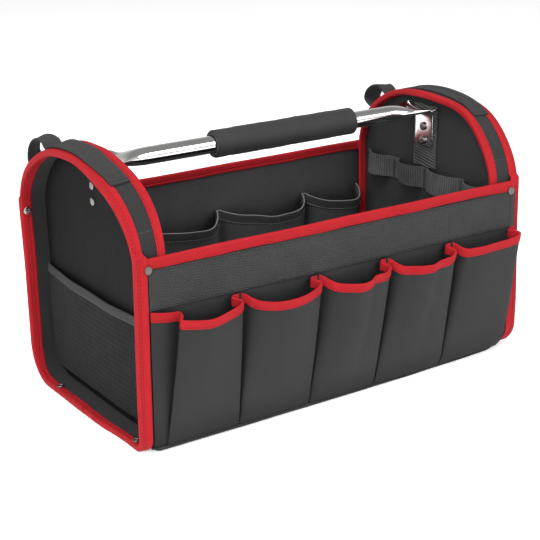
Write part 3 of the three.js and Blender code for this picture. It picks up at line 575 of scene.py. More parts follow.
def piece(made, slot, *nodes):
    """Puts a new piece on the part, in place of CAD nodes."""
    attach(made, "root")
    if nodes:
        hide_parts(*nodes)
    return made


# Surfaces that the pieces lie on

def corner_radius(edge, x):
    share = np.clip(x / (LENGTH - 2 * SIDE_TAPE - 4) + 0.5, 0, 1) ** CORNER_GROWTH[edge]
    left, right = (getattr(end, edge) for end in ENDS)
    return mix(left, right, share)


def wall_swell(edge, x, z):
    """How far a long wall stands out of its plane between its sewn edges."""
    return belly(x / 240, z / 215) * (1.3 + 0.7 * waver(spots(x, 0.0, z), 150, 3 if edge == "front" else 4))


def wall_points(edge, x, height, out):
    """Points on a long wall: place along it, height up it, and distance out from the gusset's line."""
    x, height, out = np.broadcast_arrays(np.asarray(x, float), height, out)
    radius = corner_radius(edge, x)
    turn = FLOOR + radius
    angle = np.arcsin(np.clip((turn - height) / (radius + WALL_OUT), 0, 1))
    out = out + wall_swell(edge, x, height) * ease(8, 40, height)
    y = HALF - radius + (radius + out) * np.cos(angle)
    z = np.where(height >= turn, height, turn - (radius + out) * np.sin(angle))
    return spots(x, SIDE_OF[edge] * y, z)


def arch_spot(angle):
    """Place and normal on an end's arch: y, z, normal y, normal z."""
    c, s = math.cos(math.radians(angle)), math.sin(math.radians(angle))
    size = math.hypot(c / HALF, s / ARCH_RISE)
    return HALF * c, ARCH_SPRING + ARCH_RISE * s, c / HALF / size, s / ARCH_RISE / size


def end_rows(end):
    """Rows round an end from the bottom's middle over the arch, as columns: place, normal, pad and cover."""
    rows = []

    def bottom(places):
        rows.extend((y, FLOOR, 0, -1, FLAT_PAD, BASE_EDGE) for y in places)

    def corner(side, radius, shares):
        for t in shares:
            ny, nz = side * math.sin(math.radians(90 * t)), -math.cos(math.radians(90 * t))
            rows.append((side * (HALF - radius) + radius * ny, FLOOR + radius * (1 + nz), ny, nz,
                         mix(FLAT_PAD, SIDE_PAD, t), mix(BASE_EDGE, WALL_OUT, t)))

    def upright(side, heights):
        rows.extend((side * HALF, z, side, 0, SIDE_PAD, WALL_OUT) for z in heights)

    half_arch = [0, 1.5, 3, 4, 5, 6, 7, 8, 10, 12.5, *np.arange(15.5, 89, 3)]
    bottom(np.linspace(0, end.front - HALF, 16)[:-1])
    corner(-1, end.front, np.linspace(0, 1, 10))
    upright(-1, np.linspace(FLOOR + end.front, ARCH_SPRING, 28)[1:-1])
    for angle in [180 - a for a in half_arch] + [90] + half_arch[::-1]:
        near = min(angle, 180 - angle)
        cover = WALL_OUT * float(1 - ease(3.2, 7.6, near))
        rows.append((*arch_spot(angle), mix(SIDE_PAD, PAD, float(ease(0, PAD_TURN, near))), cover))
    upright(1, np.linspace(ARCH_SPRING, FLOOR + end.back, 26)[1:-1])
    corner(1, end.back, np.linspace(1, 0, 12))
    bottom(np.linspace(HALF - end.back, 0, 14)[1:-1])
    y, z, ny, nz, pad, cover = np.array(rows, float).T[..., None]
    return SimpleNamespace(y=y, z=z, ny=ny, nz=nz, pad=pad, cover=cover)


def end_points(side, rows, out, depth):
    """Points off an end's outline: out along its normal, in from the outer edge."""
    out, depth, _ = np.broadcast_arrays(out, depth, rows.y)
    lift = ARCH_LIFT * np.maximum(0, rows.nz) * depth / GUSSET_WIDTH
    return spots(side * (LENGTH / 2 - depth), rows.y + rows.ny * out, rows.z + rows.nz * out + lift)


# Folded tape: radius of its fold, distance of its stitches from its edge
TAPE_FOLD, TAPE_SEWN = 2.4, 3.4


def folded(low, high, reach_low, reach_high, sewn_high=TAPE_SEWN, pinch=0.0):
    """Section of tape folded over an edge: distances out and from the fold, outside and inside."""
    sizes = low, high, reach_low, reach_high
    low, high, reach_low, reach_high = (np.atleast_2d(np.asarray(a, float)) for a in sizes)
    face, turn, flat = np.linspace(1, 0, 15), np.radians(np.linspace(0, 90, 6)), np.linspace(0, 1, 5)[1:-1]

    def side(tape):
        top, bottom, start = high + tape - pinch, low - tape, TAPE - tape
        r = np.minimum(TAPE_FOLD - start, (top - bottom) / 2 - 0.05)
        dip = lambda w, reach, at: (0.38 * tape) * np.exp(-((w - reach + at) / 0.9) ** 2)
        curl = lambda w, reach: (0.35 * tape) * np.exp(-((w - reach) / 0.6) ** 2)
        w_a = start + r + (reach_high - start - r) * face
        w_e = start + r + (reach_low - start - r) * face[::-1]
        w = [w_a, start + r - r * np.sin(turn), start + 0 * (r + flat), start + r - r * np.cos(turn), w_e]
        upper = top + pinch * ease(start + r, reach_high, w_a) - dip(w_a, reach_high, sewn_high)
        out = [upper - curl(w_a, reach_high), top - r + r * np.cos(turn),
               top - r + (bottom - top + 2 * r) * flat, bottom + r - r * np.sin(turn),
               bottom + dip(w_e, reach_low, TAPE_SEWN) + curl(w_e, reach_low)]
        count = max(len(a) for a in w + out)
        spread = lambda parts: np.concatenate([np.broadcast_to(a, (count, a.shape[1])) for a in parts], 1)
        return spread(out), spread(w)

    return side(TAPE), side(0.0)


# Body of the bag: front wall, base and back wall as one shell
def body_shell():
    x = np.concatenate([[-248.5, -242], np.linspace(-FREE - 1.5, FREE + 1.5, 90), [242, 248.5]])
    inside = 1 - ease(FREE - 4, FREE, np.abs(x))
    grids = []
    for outer in (True, False):
        bottom = mix(BASE_EDGE, FLOOR, inside) if outer else BASE_IN
        held = WALL_OUT - 1.6 * ease(FREE + 1, LENGTH / 2 - 3, np.abs(x)) if outer else WALL_IN
        halves = []
        for edge, side in SIDE_OF.items():
            radius = corner_radius(edge, x)
            half = [wall_points(edge, x, mix(WALL_TOP - SKIN, FLOOR + radius + 1.5, t), held)
                    for t in np.linspace(0, 1, 30)]
            for t in np.linspace(1, 0, 10):
                off, turn = radius + mix(bottom, held, t), math.radians(90 * t)
                half.append(spots(x, side * (HALF - radius + off * math.sin(turn)),
                                  FLOOR + radius - off * math.cos(turn)))
            halves.append(half)
        front, back = halves
        under = [mix(front[-1], back[-1], t) for t in np.linspace(0, 1, 26)[1:-1]]
        grids.append(np.stack(front + under + back[::-1], 1))
    skin = grids[0]
    lift = np.maximum(0, waver(skin, 90, 7)) * 0.9 * (1 - ease(6, 20, skin[..., 2]))
    for grid in grids:
        grid[..., 2] += lift * inside[:, None]
    return shell("body_shell", *grids, BODY_CLOTH)


body = piece(body_shell(), "cloth", "front_wall", "back_wall", "base")


# Tape along the tops of the long walls
def top_tape(edge):
    x = np.linspace(-FREE, FREE, 120)[:, None]
    spot = spots(x, 0.0, 0.0)
    reach, sag = TOP_TAPE - 0.5 * waver(spot, 60, 11), 0.5 * waver(spot, 130, 12)
    section = folded(WALL_IN - GAP, WALL_OUT + GAP, reach, reach)
    skin, lining = (wall_points(edge, x, WALL_TOP - down + sag, out) for out, down in section)
    made = piece(shell(f"{edge}_top_tape", skin, lining, RED_TAPE), "tape", f"{edge}_top_binding")
    up = np.array([0.0, SIDE_OF[edge], 0.0])
    lines = [seam(skin[:, 3], up), seam(skin[:, -4], -up)]
    sewn = piece(threads(f"{edge}_top_stitches", lines, RED_THREAD), "tape")


for edge in SIDE_OF:
    top_tape(edge)


# Ends: padded gusset, its two tapes and the arched panel
def panel_swell(y, z):
    swell = belly(y / 118, z / 230)
    return (1.2 * swell + 0.5 * waver(spots(0.0, y, z), 80, 21) * swell) * (1 - ease(170, 215, z))


def inside_of(line, dots):
    """Which dots lie inside a closed line."""
    a, b = line, np.roll(line, -1, 0)
    rise = b[:, 1] - a[:, 1]
    slope = (b[:, 0] - a[:, 0]) / np.where(np.abs(rise) < 1e-9, 1e-9, rise)
    y, z = dots[:, :1], dots[:, 1:]
    crossed = ((a[:, 1] > z) != (b[:, 1] > z)) & (y < a[:, 0] + (z - a[:, 1]) * slope)
    return crossed.sum(1) % 2 == 1


def panel_sheet(end, rows):
    """Arched panel, filled with points inside its outline and given its thickness."""
    line = end_points(end.side, rows, -rows.pad - GAP, END_RECESS)[:, 0, 1:]
    line = line[np.concatenate([[True], np.linalg.norm(np.diff(line, axis=0), axis=1) > 0.4])]
    dots = np.stack(np.meshgrid(np.arange(-110, 111, 9.0), np.arange(12, 280, 9.0)), -1).reshape(-1, 2)
    near = np.linalg.norm(dots[:, None] - line[None], axis=2).min(1)
    dots = dots[inside_of(line, dots) & (near > 4)]
    count = len(line)
    edges = [(i, (i + 1) % count) for i in range(count)]
    spread = [tuple(p) for p in np.concatenate([line, dots]).tolist()]
    flat, _, tris, sources, *_ = delaunay_2d_cdt(spread, edges, [list(range(count))], 1, 1e-6)
    flat, tris = np.array([tuple(p) for p in flat]), np.array(tris)
    y, z = flat.T
    points = [spots(end.side * (x + panel_swell(y, z)), y, z) for x in (END_FACE, END_FACE - PANEL)]
    a = np.array([sources.index([i]) if [i] in sources else i for i in range(count)])
    b, n = np.roll(a, -1), len(flat)
    faces = [tris, tris[:, ::-1] + n, np.stack([b, a, a + n, b + n], 1)]
    maps = [flat[tris], flat[tris[:, ::-1]], flat[np.stack([b, a, a, b], 1)]]
    # Painted light: the left panel takes the darker, shaded copy of the cloth, and the right panel takes the
    # lighter, lit copy.
    return make(f"{end.name}_end_panel", np.concatenate(points), faces, maps,
                SHADED_PANEL_CLOTH if end.side < 0 else LIT_INNER_CLOTH)


def end_tape(end, rows, kind):
    """Tape folded over the outer or the inner edge of a gusset, with its stitches."""
    outer = kind == "outer"
    loose = 0.45 * waver(spots(end.side * LENGTH / 2, rows.y, rows.z), 55, 31 if outer else 32)
    if outer:
        share = np.maximum(0, rows.cover - BASE_EDGE) / (WALL_OUT - BASE_EDGE)
        narrow = mix(OUTER_TAPE, FLOOR_TAPE, ease(-0.3, -0.95, rows.nz))
        wide = mix(OUTER_TAPE, SIDE_TAPE, share)
        section = folded(-rows.pad - GAP, rows.cover + GAP, narrow + loose, wide - loose, sewn_high=8.6,
                         pinch=1.4 * share)
        nose, inward = 0.0, 1
    else:
        section = folded(-rows.pad - GAP, GAP + 0 * rows.pad, INNER_TAPE + loose, INNER_TAPE - loose)
        nose, inward = GUSSET_WIDTH + SKIN, -1
    skin, lining = (end_points(end.side, rows, out, nose + inward * w) for out, w in section)
    made = shell(f"{end.name}_{kind}_tape", skin, lining, RED_TAPE, loop=True)
    up = spots(0.0, rows.ny, rows.nz)[:, 0]
    raised = np.flatnonzero(rows.z > FLOOR + 2)
    raised = np.arange(raised[0], raised[-1] + 1)
    lines = [seam(skin[raised, 10 if outer else 3], up[raised]), seam(skin[:, -4], -up)]
    if outer:
        lines.append(seam(skin[raised, 14], up[raised]))
    sewn = piece(threads(f"{end.name}_{kind}_stitches", lines, RED_THREAD), "tape")
    piece(made, "tape", f"{end.name}_{kind}_binding")
    wide = run(np.stack([a.mean(0) for a in section[0]], 1))[-1]


def tape_joint():
    """End of the left outer tape, lapped over its beginning on the floor."""
    y = np.linspace(31, -3, 12)[:, None]
    rows = SimpleNamespace(y=y, z=FLOOR + 0 * y, ny=0 * y, nz=0 * y - 1)
    section = folded(-FLAT_PAD - GAP - 1.1, BASE_EDGE - 0.5, 9.2, 9.0)
    skin, lining = (end_points(-1, rows, out, w - 0.9) for out, w in section)
    made = piece(shell("left_tape_joint", skin, lining, RED_TAPE), "tape")


# Height of the seams across a gusset
GUSSET_SEAM = 228


def gusset_pad(end, rows):
    t = np.linspace(0, 1, 16)[None]
    depth = mix(1.5, GUSSET_WIDTH, t)
    soft = np.sin(np.pi * t) * (0.7 + 0.35 * waver(spots(0.0, rows.y, rows.z), 70, 41))
    skin = end_points(end.side, rows, 0.25 * soft, depth)
    lining = end_points(end.side, rows, -rows.pad - 0.6 * soft, depth)
    made = shell(f"{end.name}_gusset_pad", skin, lining, CLOTH, loop=True)
    piece(made, "cloth", f"{end.name}_gusset")
    lines = []
    for side in SIDE_OF.values():
        near = int(np.argmin(np.abs(rows.z - GUSSET_SEAM) + 1000 * (rows.y * side < 0)))
        out = np.array([0, rows.ny[near, 0], rows.nz[near, 0]])
        lines += [seam(lining[near, 2:15], -out, 2.2, 1.2), seam(skin[near, 2:15], out, 2.2, 1.2)]
    piece(threads(f"{end.name}_gusset_stitches", lines, DIM_THREAD, 0.28, 0.2), "cloth")


# Net pocket on an end, with half the width of its threads, their rows and their zigzag
NET_TOP, NET_FOOT, NET_LIFT, NET_BULGE, HEM = 130.5, 14.0, 2.1, 6.0, 10.5
NET_TALL, NET_THREAD, NET_ROW, NET_ZIGZAG = NET_TOP - NET_FOOT, 0.37, 3.0, 1.4
NET_UNDER_HEM = HEM * 0.6
# Section of the hem: distance down from the top, half its thickness
HEM_SECTION = np.array([(HEM, 0.9), (HEM - 0.7, 1.25), (HEM - 1.6, 1.05), (7.5, 1.3), (5, 1.4), (2.6, 1.3),
                        (1.2, 1.05), (0.5, 0.75), (0, 0.4)])


def net_half(radius, z):
    turn, inner = FLOOR + radius, radius - SIDE_PAD - 0.6
    low = HALF - radius + np.sqrt(np.maximum(0, inner ** 2 - (turn - z) ** 2))
    return np.where(z >= turn, HALF - SIDE_PAD - 0.6, low)


def net_points(end, s, v, off=0.0):
    """Points on a net pocket, from s = -1 at the front to 1 at the back and v = 0 at its foot."""
    z = NET_FOOT + NET_TALL * v
    y = mix(-net_half(end.front, z), net_half(end.back, z), s / 2 + 0.5)
    slack = 1 + 0.14 * waver(spots(0 * y, y, z), 75, 51)
    bulge = NET_BULGE * v ** 0.6 * (1 - s ** 2) * slack
    sag = 0.8 * (1 - s ** 2) * v ** 3
    return spots(end.side * (END_FACE + NET_LIFT + bulge + off), y, z - sag)


def net_pocket(end):
    out = np.array([float(end.side), 0.0, 0.0])
    s = np.linspace(-0.996, 0.996, 217)
    points, faces = [], []
    for i, height in enumerate(np.arange(1.6, NET_TALL - NET_UNDER_HEM, NET_ROW)):
        zigzag = NET_ZIGZAG * np.array([-1, 0, 1, 0])[(np.arange(len(s)) + i) % 4]
        line = net_points(end, s, (height + zigzag) / NET_TALL, 0.15 * (-1) ** i)
        side = unit(np.cross(out, np.gradient(line, axis=0)))
        points += [np.stack([line + NET_THREAD * (a * side + b * out)
                             for a, b in ((1, -1), (1, 1), (-1, 1), (-1, -1))], 1).reshape(-1, 3)]
        faces += [f + i * len(points[0]) for f in ring_faces(len(s), 4)]
    net = make(f"{end.name}_net", np.concatenate(points), [np.concatenate(faces)], None, NET)
    piece(net, "net", f"{end.name}_mesh_pocket")

    down, half = HEM_SECTION.T[..., None]
    grid = net_points(end, np.linspace(-1, 1, 70)[None], 1 - down / NET_TALL)
    off = normals(grid) * half[..., None]
    hem = shell(f"{end.name}_net_hem", grid + off, grid - off, NET_HEM)
    piece(hem, "hem", f"{end.name}_mesh_hem")
    lines = [seam(grid[2] + out * 1.15, out, 2.6, 1.2)]
    sewn = piece(threads(f"{end.name}_net_hem_stitches", lines, DIM_THREAD, 0.28, 0.25), "hem")


# Elastic tool loops: feet of each loop, how far it stands out, tacks between loops, edges of the band
TOOL_LOOPS, TOOL_LOOP_OUT = ((-109, -66), (-57, -2), (8, 51), (70, 109)), 10
TOOL_TACKS = (-110.4, -61.5, 3.0, 60.5, 110.4)
ELASTIC_LOW, ELASTIC_HIGH = 168.5, 194.5
ELASTIC_MIDDLE, ELASTIC_RELIEF = (ELASTIC_LOW + ELASTIC_HIGH) / 2, 0.24


def elastic_band(end):
    line = [(-111.5, 0.0), (-110.0, 0.0)]
    for low, high in TOOL_LOOPS:
        line += [(mix(low, high, t), TOOL_LOOP_OUT * math.sin(math.pi * t) ** 0.7)
                 for t in np.linspace(0, 1, 9)]
    line = even(smooth(line + [(110.0, 0.0), (111.5, 0.0)], 8), 0.55)
    along, out = line.T[:, None]
    z = np.linspace(ELASTIC_LOW, ELASTIC_HIGH, 7)[:, None]
    face = BAND_FACE - 0.6
    tilt = 1.2 * np.sin(along / 21.0) * (z - ELASTIC_MIDDLE) / 13 * (out > 0.6)
    grid = spots(end.side * (face - (out + tilt)), along, z)
    ribs = ELASTIC_RELIEF * np.sin(2 * np.pi * run(line) / ELASTIC_RIB)[None]
    places = np.stack(np.meshgrid(run(line), z[:, 0]), -1)
    made = cloth(f"{end.name}_elastic_band", grid, 1.0, ELASTIC, ribs, places)
    piece(made, "elastic", f"{end.name}_elastic")
    up, way = np.array([-float(end.side), 0, 0]), np.array([0, 1.0, 0])
    lines = [bar_tack(np.array([end.side * (face - 0.7), y, ELASTIC_MIDDLE]), way, up, 22, 2.0, 24)
             for y in TOOL_TACKS]
    sewn = piece(threads(f"{end.name}_elastic_tacks", lines, BLACK_THREAD, 0.3, 0.3), "elastic")


# Webbing under a leg of the handle
ANCHOR_LOW, ANCHOR_HIGH, ANCHOR_HALF, ANCHOR_SEAM = 196, 272.6, 20, 18.6
ANCHOR_CORE, ANCHOR_RELIEF = 0.75, 0.34


def anchor_band(end):
    z = np.arange(ANCHOR_LOW, ANCHOR_HIGH, 0.5)
    y = np.linspace(-ANCHOR_HALF, ANCHOR_HALF, 25)
    ribs = ANCHOR_RELIEF * np.sin(2 * np.pi * (z[:, None] - ANCHOR_SLANT * y[None]) / ANCHOR_RIB) - 0.2
    edge = ease(ANCHOR_HALF, ANCHOR_HALF - 2.4, np.abs(y))[None]
    ribs = ribs * edge + 0.15 * (1 - edge)
    flat = spots(end.side * (BAND_FACE - ANCHOR_CORE), HANDLE_Y + y[None], z[:, None])
    inward = np.array([-end.side, 0.0, 0.0])
    made = shell(f"{end.name}_anchor_band", flat + inward * (ANCHOR_CORE + ribs - ANCHOR_RELIEF)[..., None],
                 flat - inward * ANCHOR_CORE, ANCHOR_WEBBING, places=np.stack(np.meshgrid(y, z), -1))
    piece(made, "webbing", f"{end.name}_anchor")
    face = end.side * (BAND_FACE - 1.35)
    lines = [seam(spots(face, HANDLE_Y + side * ANCHOR_SEAM, z[2:-2]), inward, 2.6, 0.8) for side in (-1, 1)]
    sewn = piece(threads(f"{end.name}_anchor_edges", lines, DIM_THREAD, 0.6, 0.4), "webbing")


# Straps: angle on the arch where they start, places of their edges, width, shift over the top
STRAP_START, STRAP_EDGES, STRAP_WIDTH, STRAP_SHIFT = 127.5, (9.5, 30.8), 21.3, 4.5
STRAP_THICK, STRAP_OFF = 2.2, 1.5
# Each strap: angles where it leaves and comes back, rise of its edges over the top, skew and line of its loop
STRAPS = dict(
    left=SimpleNamespace(leaves=57, returns=(31.5, 36), rise=(0.6, 4.2), skew=16, loop=[
        (72, 271.8), (79, 275.2), (91, 276.2), (100, 274.4), (107, 271.4), (113.5, 266.4), (118, 259.8),
        (119.5, 252.8), (117.5, 246.8), (113.5, 242.4), (109, 240.6)]),
    right=SimpleNamespace(leaves=50, returns=(34.8, 40), rise=(1.8, 0.3), skew=8, loop=[
        (80, 264.2), (86, 267.5), (91, 271.5), (97, 273.8), (103, 272.6), (109.5, 268.6), (115, 263),
        (118, 257), (118, 252), (115, 248), (110, 245.4), (105, 244.2)]))
# Share of the arch's lift that a strap's loop takes
LOOP_LIFT = 0.82


def strap(end):
    """Webbing over the arch, out into an open loop at the back and in again under it."""
    own = STRAPS[end.name]

    def on_arch(angles):
        return [(y + ny * STRAP_OFF, z + nz * STRAP_OFF, nz) for y, z, ny, nz in map(arch_spot, angles)]

    line = on_arch(np.linspace(STRAP_START, own.leaves, 18)) + [(y, z, LOOP_LIFT) for y, z in own.loop]
    line = even(smooth(line + on_arch(own.returns), 6), 2.0)
    y, z, lifted = line.T[..., None]
    w = np.linspace(0, 1, 28)[None]
    shift = 0.5 * waver(spots(0 * y, y, z), 60, 61)
    over_top = ease(-80, -15, y) * ease(85, 30, y)
    depth = mix(*STRAP_EDGES, w) + 0.5 * shift - STRAP_SHIFT * over_top + (1 - w) * 2 * ease(70, 95, y)
    high = z + ARCH_LIFT * lifted * depth / GUSSET_WIDTH + mix(*own.rise, w) * over_top
    across = y + own.skew * (w - 0.3) * ease(80, 116, y) * ease(243, 254, z)
    grid = spots(end.side * (LENGTH / 2 - depth), across, high)
    over = normals(grid)
    grid = grid + over * np.sign(over[..., 2:].mean()) * 1.05 * ease(14, 12, depth)[..., None]
    selvedge = np.exp(-(np.minimum(w, 1 - w) / 0.035) ** 2)
    ribs = 0.10 * np.cos(2 * np.pi * w * STRAP_WIDTH / STRAP_RIB) - 0.45 * selvedge
    made = cloth(f"{end.name}_strap_band", grid, STRAP_THICK, STRAP_WEBBING, ribs)
    piece(made, "webbing", f"{end.name}_strap")
    n = normals(grid)
    up = n * np.sign(n[..., 2:3].mean())
    far = int(np.argmin(np.abs(y[:60] - 60)))
    lines = [seam(grid[row] + up[row] * 1.15, up[row], 2.2, 0.9) for row in (2, 7, far)]
    sewn = piece(threads(f"{end.name}_strap_stitches", lines, BLACK_THREAD, 0.35, 0.3), "webbing")


TUBE_RADIUS = 9.5
# Handle from its tube to the end of a leg: x, z, tilt, half width, half height, rise of the edges
HANDLE = np.array([
    *[(x, HANDLE_Z, 0, TUBE_RADIUS, TUBE_RADIUS, 0) for x in (100, 150)], (165, HANDLE_Z, 0, 9.8, 9.2, 0.1),
    (178, 266.6, 0, 12, 7.6, 0.6), (190, 266.3, 0, 17.5, 4.8, 1.8), (200, 266, 0, 23.5, 2.3, 3.8),
    (206, 265.9, 0, 26, 1.5, 5), (211.4, 265.7, 3, 26.2, 1.3, 5.2), (212, 265.6, 6, 25.6, 1.2, 4.8),
    (212.3, 265.6, 10, 16.4, 1.2, 0.5), (213.8, 265, 42, 15.7, 1.2, 0), (215.1, 262, 72, 15.5, 1.2, 0),
    (215.6, 254.5, 90, 15.5, 1.2, 0), (215.6, 240, 90, 15.5, 1.2, 0), (215.6, 226.5, 90, 15.5, 1.2, 0),
    (215.6, 223.8, 90, 15.2, 1.2, 0), (215.6, 223.1, 90, 14.4, 1, 0)], float)
RIM_X, RIM_Z, RIM_HALF, RIM_RISE, RIM_RADIUS = 211.6, 266.6, 25.6, 5.2, 1.4
GRIP_MIDDLE, GRIP_HALF, GRIP_RADIUS, GRIP_BORE, GRIP_EDGE = 14.6, 92.0, 15.0, 9.7, 2.6


def handle_tube():
    even_tilt = [1, 1, 0.3, 1, 1, 1]
    x, z, tilt, half, high, lip = (smooth(HANDLE * even_tilt, 7) / even_tilt).T[..., None]
    a = circle(56)[None]
    c, s, t = np.cos(a), np.sin(a), np.radians(tilt)
    square = ease(0, 1, (TUBE_RADIUS - high) / TUBE_RADIUS)
    across = np.sign(c) * np.abs(c) ** (1 - 0.35 * square)

    def rings(side):
        curl = 5 * ease(178, 192, x) * ease(212, 200, x) * (across > 0) * (side < 0)
        rise = high * np.sign(s) * np.abs(s) ** (1 - 0.3 * square) + (lip + curl) * np.abs(across) ** 3
        return spots(side * (x + rise * np.sin(t)), HANDLE_Y + half * across, z + rise * np.cos(t))

    return loft("handle_chrome", np.concatenate([rings(-1)[::-1], rings(1)]), CHROME)


def handle_rim(end):
    """Rolled edge along the flattened end of the tube."""
    across = np.linspace(-1, 1, 40)
    edge = spots(end.side * RIM_X, HANDLE_Y + RIM_HALF * across, RIM_Z + RIM_RISE * np.abs(across) ** 3)
    return loft(f"{end.name}_handle_rim", tube(edge, RIM_RADIUS, 12), CHROME)


def handle_grip():
    edge = [(GRIP_RADIUS - GRIP_EDGE + GRIP_EDGE * math.sin(q),
             GRIP_HALF - GRIP_EDGE + GRIP_EDGE * math.cos(q)) for q in np.linspace(0, math.pi / 2, 7)]
    mouth = [(GRIP_BORE, GRIP_HALF - 4), (GRIP_BORE, GRIP_HALF - 0.6), (GRIP_BORE + 0.5, GRIP_HALF),
             ((GRIP_BORE + GRIP_RADIUS) / 2, GRIP_HALF + 0.1)]
    half = mouth + edge
    middle = [(GRIP_RADIUS, t) for t in np.linspace(6 - GRIP_HALF, GRIP_HALF - 6, 60)]
    radius, along = np.array([(r, -t) for r, t in half] + middle + half[::-1]).T[..., None]
    a = circle(64)[None]
    spot = spots(GRIP_MIDDLE + along, GRIP_RADIUS * np.cos(a), GRIP_RADIUS * np.sin(a))
    size = radius + (0.22 * waver(spot, 34, 71) + 0.1 * waver(spot, 11, 72)) * (radius > 12)
    rings = spots(GRIP_MIDDLE + along, HANDLE_Y + np.cos(a) * size, HANDLE_Z + np.sin(a) * size)
    rows, count = rings.shape[:2]
    r, k = cells(rows, count)
    places = flat_places(np.concatenate([rings, rings[:, :1]], 1), loop=True)
    return make("grip_foam", rings.reshape(-1, 3), [(r % rows) * count + k % count], [places[r, k]], FOAM)


# Fasteners: radius and height of their heads, radius of their shanks, height where the base screws end
BRACKET_HEAD, BRACKET_TAIL, BRACKET_SHANK = (4.8, 2.5), (4.4, 1.8), 2.2
RIVET_HEAD, RIVET_TAIL, RIVET_SHANK = (4.4, 1.6), (4.3, 1.9), 1.8
BASE_HEAD, BASE_SHANK, BASE_TIP = (4.1, 2.0), 1.8, 1.7
# Their places
BRACKET_SCREWS, BRACKET_INSIDE, BRACKET_STACK = (245.3, 228.3), LENGTH / 2 - 35.6, 7.0
RIVET_Z, RIVET_X = 193.3, dict(front=235, back=243.5)
BASE_SCREW_X = 244
BEVEL = 0.9


def rounded_end(head, at, side, dome=0.35):
    """Profile of a head from its rim to its middle. side is the way it faces along the axis."""
    radius, tall = head
    middle, top = radius - BEVEL, at + side * tall * 0.85
    rim = [(radius, at), (radius, at + side * tall * 0.45)]
    rim += [(middle + BEVEL * math.cos(q), at + side * (tall * 0.45 + tall * 0.4 * math.sin(q)))
            for q in np.linspace(0.3, math.pi / 2, 4)]
    rings = [(r, top + side * dome * (1 - (r / middle) ** 2)) for r in np.arange(middle - 0.3, 0.1, -0.3)]
    return rim + rings + [(0.05, top + side * dome)]


def fastener(name, profile, axis, place, recess, material):
    """Fastener turned from a profile of radius and place along its axis. recess sinks a cross
    into a head, by its place along the axis, its way in and its half length."""
    radius, along = np.array(profile, float).T[..., None]
    a = circle(40)[None]
    u, v = radius * np.cos(a), radius * np.sin(a)
    at, way, reach = recess
    arm = lambda p, q: ease(0.75, 0.4, np.abs(p)) * ease(reach, reach - 0.5, np.abs(q))
    t = along + way * 1.1 * np.maximum(arm(u, v), arm(v, u)) * (np.abs(along - at) < 1.3)
    axis = np.array(axis, float)
    side = unit(np.cross(axis, [0.3, 0.5, 0.8]))
    up = np.cross(axis, side)
    rings = np.array(place, float) + u[..., None] * side + v[..., None] * up + t[..., None] * axis
    piece(loft(f"{name}_metal", rings, material), "steel", name)


def end_fasteners(end):
    name, side = end.name, end.side
    for i, z in enumerate(BRACKET_SCREWS):
        profile = rounded_end(BRACKET_HEAD, -GAP, -1)[::-1]
        profile += [(BRACKET_SHANK, -GAP + 0.02), (BRACKET_SHANK, BRACKET_STACK + GAP)]
        profile += rounded_end(BRACKET_TAIL, BRACKET_STACK + GAP, 1)
        fastener(f"{name}_bracket_screw_{i + 1}", profile, (side, 0, 0), (side * BRACKET_INSIDE, HANDLE_Y, z),
                 (-2.6, 1, 2.5), SCREW_STEEL)
    head, tail = WALL_OUT + SKIN + 0.5, -SIDE_PAD - SKIN - GAP
    for edge, way in SIDE_OF.items():
        profile = rounded_end(RIVET_TAIL, tail, -1, 0.5)[::-1]
        profile += [(RIVET_SHANK, tail + 0.02), (RIVET_SHANK, head)] + rounded_end(RIVET_HEAD, head, 1, 0.25)
        fastener(f"{name}_{edge}_rivet", profile, (0, way, 0), (side * RIVET_X[edge], way * HALF, RIVET_Z),
                 (tail - 2, 1, 2.4), STEEL if edge == "front" else BRIGHT_STEEL)
    seat = FLOOR + FLAT_PAD + SKIN + GAP
    for i, y in enumerate(end.screws):
        profile = [(0.05, BASE_TIP), (BASE_SHANK, BASE_TIP), (BASE_SHANK, seat)]
        profile += rounded_end(BASE_HEAD, seat, 1, 0.4)
        fastener(f"{name}_base_screw_{i + 1}", profile, (0, 0, 1), (side * BASE_SCREW_X, y, 0),
                 (seat + 1.9, -1, 2.2), STEEL)


for end in ENDS:
    outline = end_rows(end)
    gusset_pad(end, outline)
    panel = piece(panel_sheet(end, outline), "cloth", f"{end.name}_panel")
    end_tape(end, outline, "outer")
    end_tape(end, outline, "inner")
    net_pocket(end)
    elastic_band(end)
    anchor_band(end)
    strap(end)
    end_fasteners(end)

tape_joint()
piece(handle_tube(), "chrome", "handle_tube")
for end in ENDS:
    piece(handle_rim(end), "chrome")
piece(handle_grip(), "foam", "handle_grip")


# Pleated pockets: thickness of their cloth, steps of the curve between two bends
POCKET_CLOTH_THICK, FOLD_STEPS = 1.0, 4


def foot_pull(along, first, last):
    """How far a fold's foot is pulled back along the wall, as a share of the pocket's pull."""
    if first:
        pull = ease(0, 0.24, along) * ease(0.6, 0.3, along) * 1.5
    else:
        pull = ease(0.01, 0.115, along) * ease(0.5, 0.13, along) * 1.15
    return pull - 0.4 * ease(0.72, 0.92, along) * (not last)


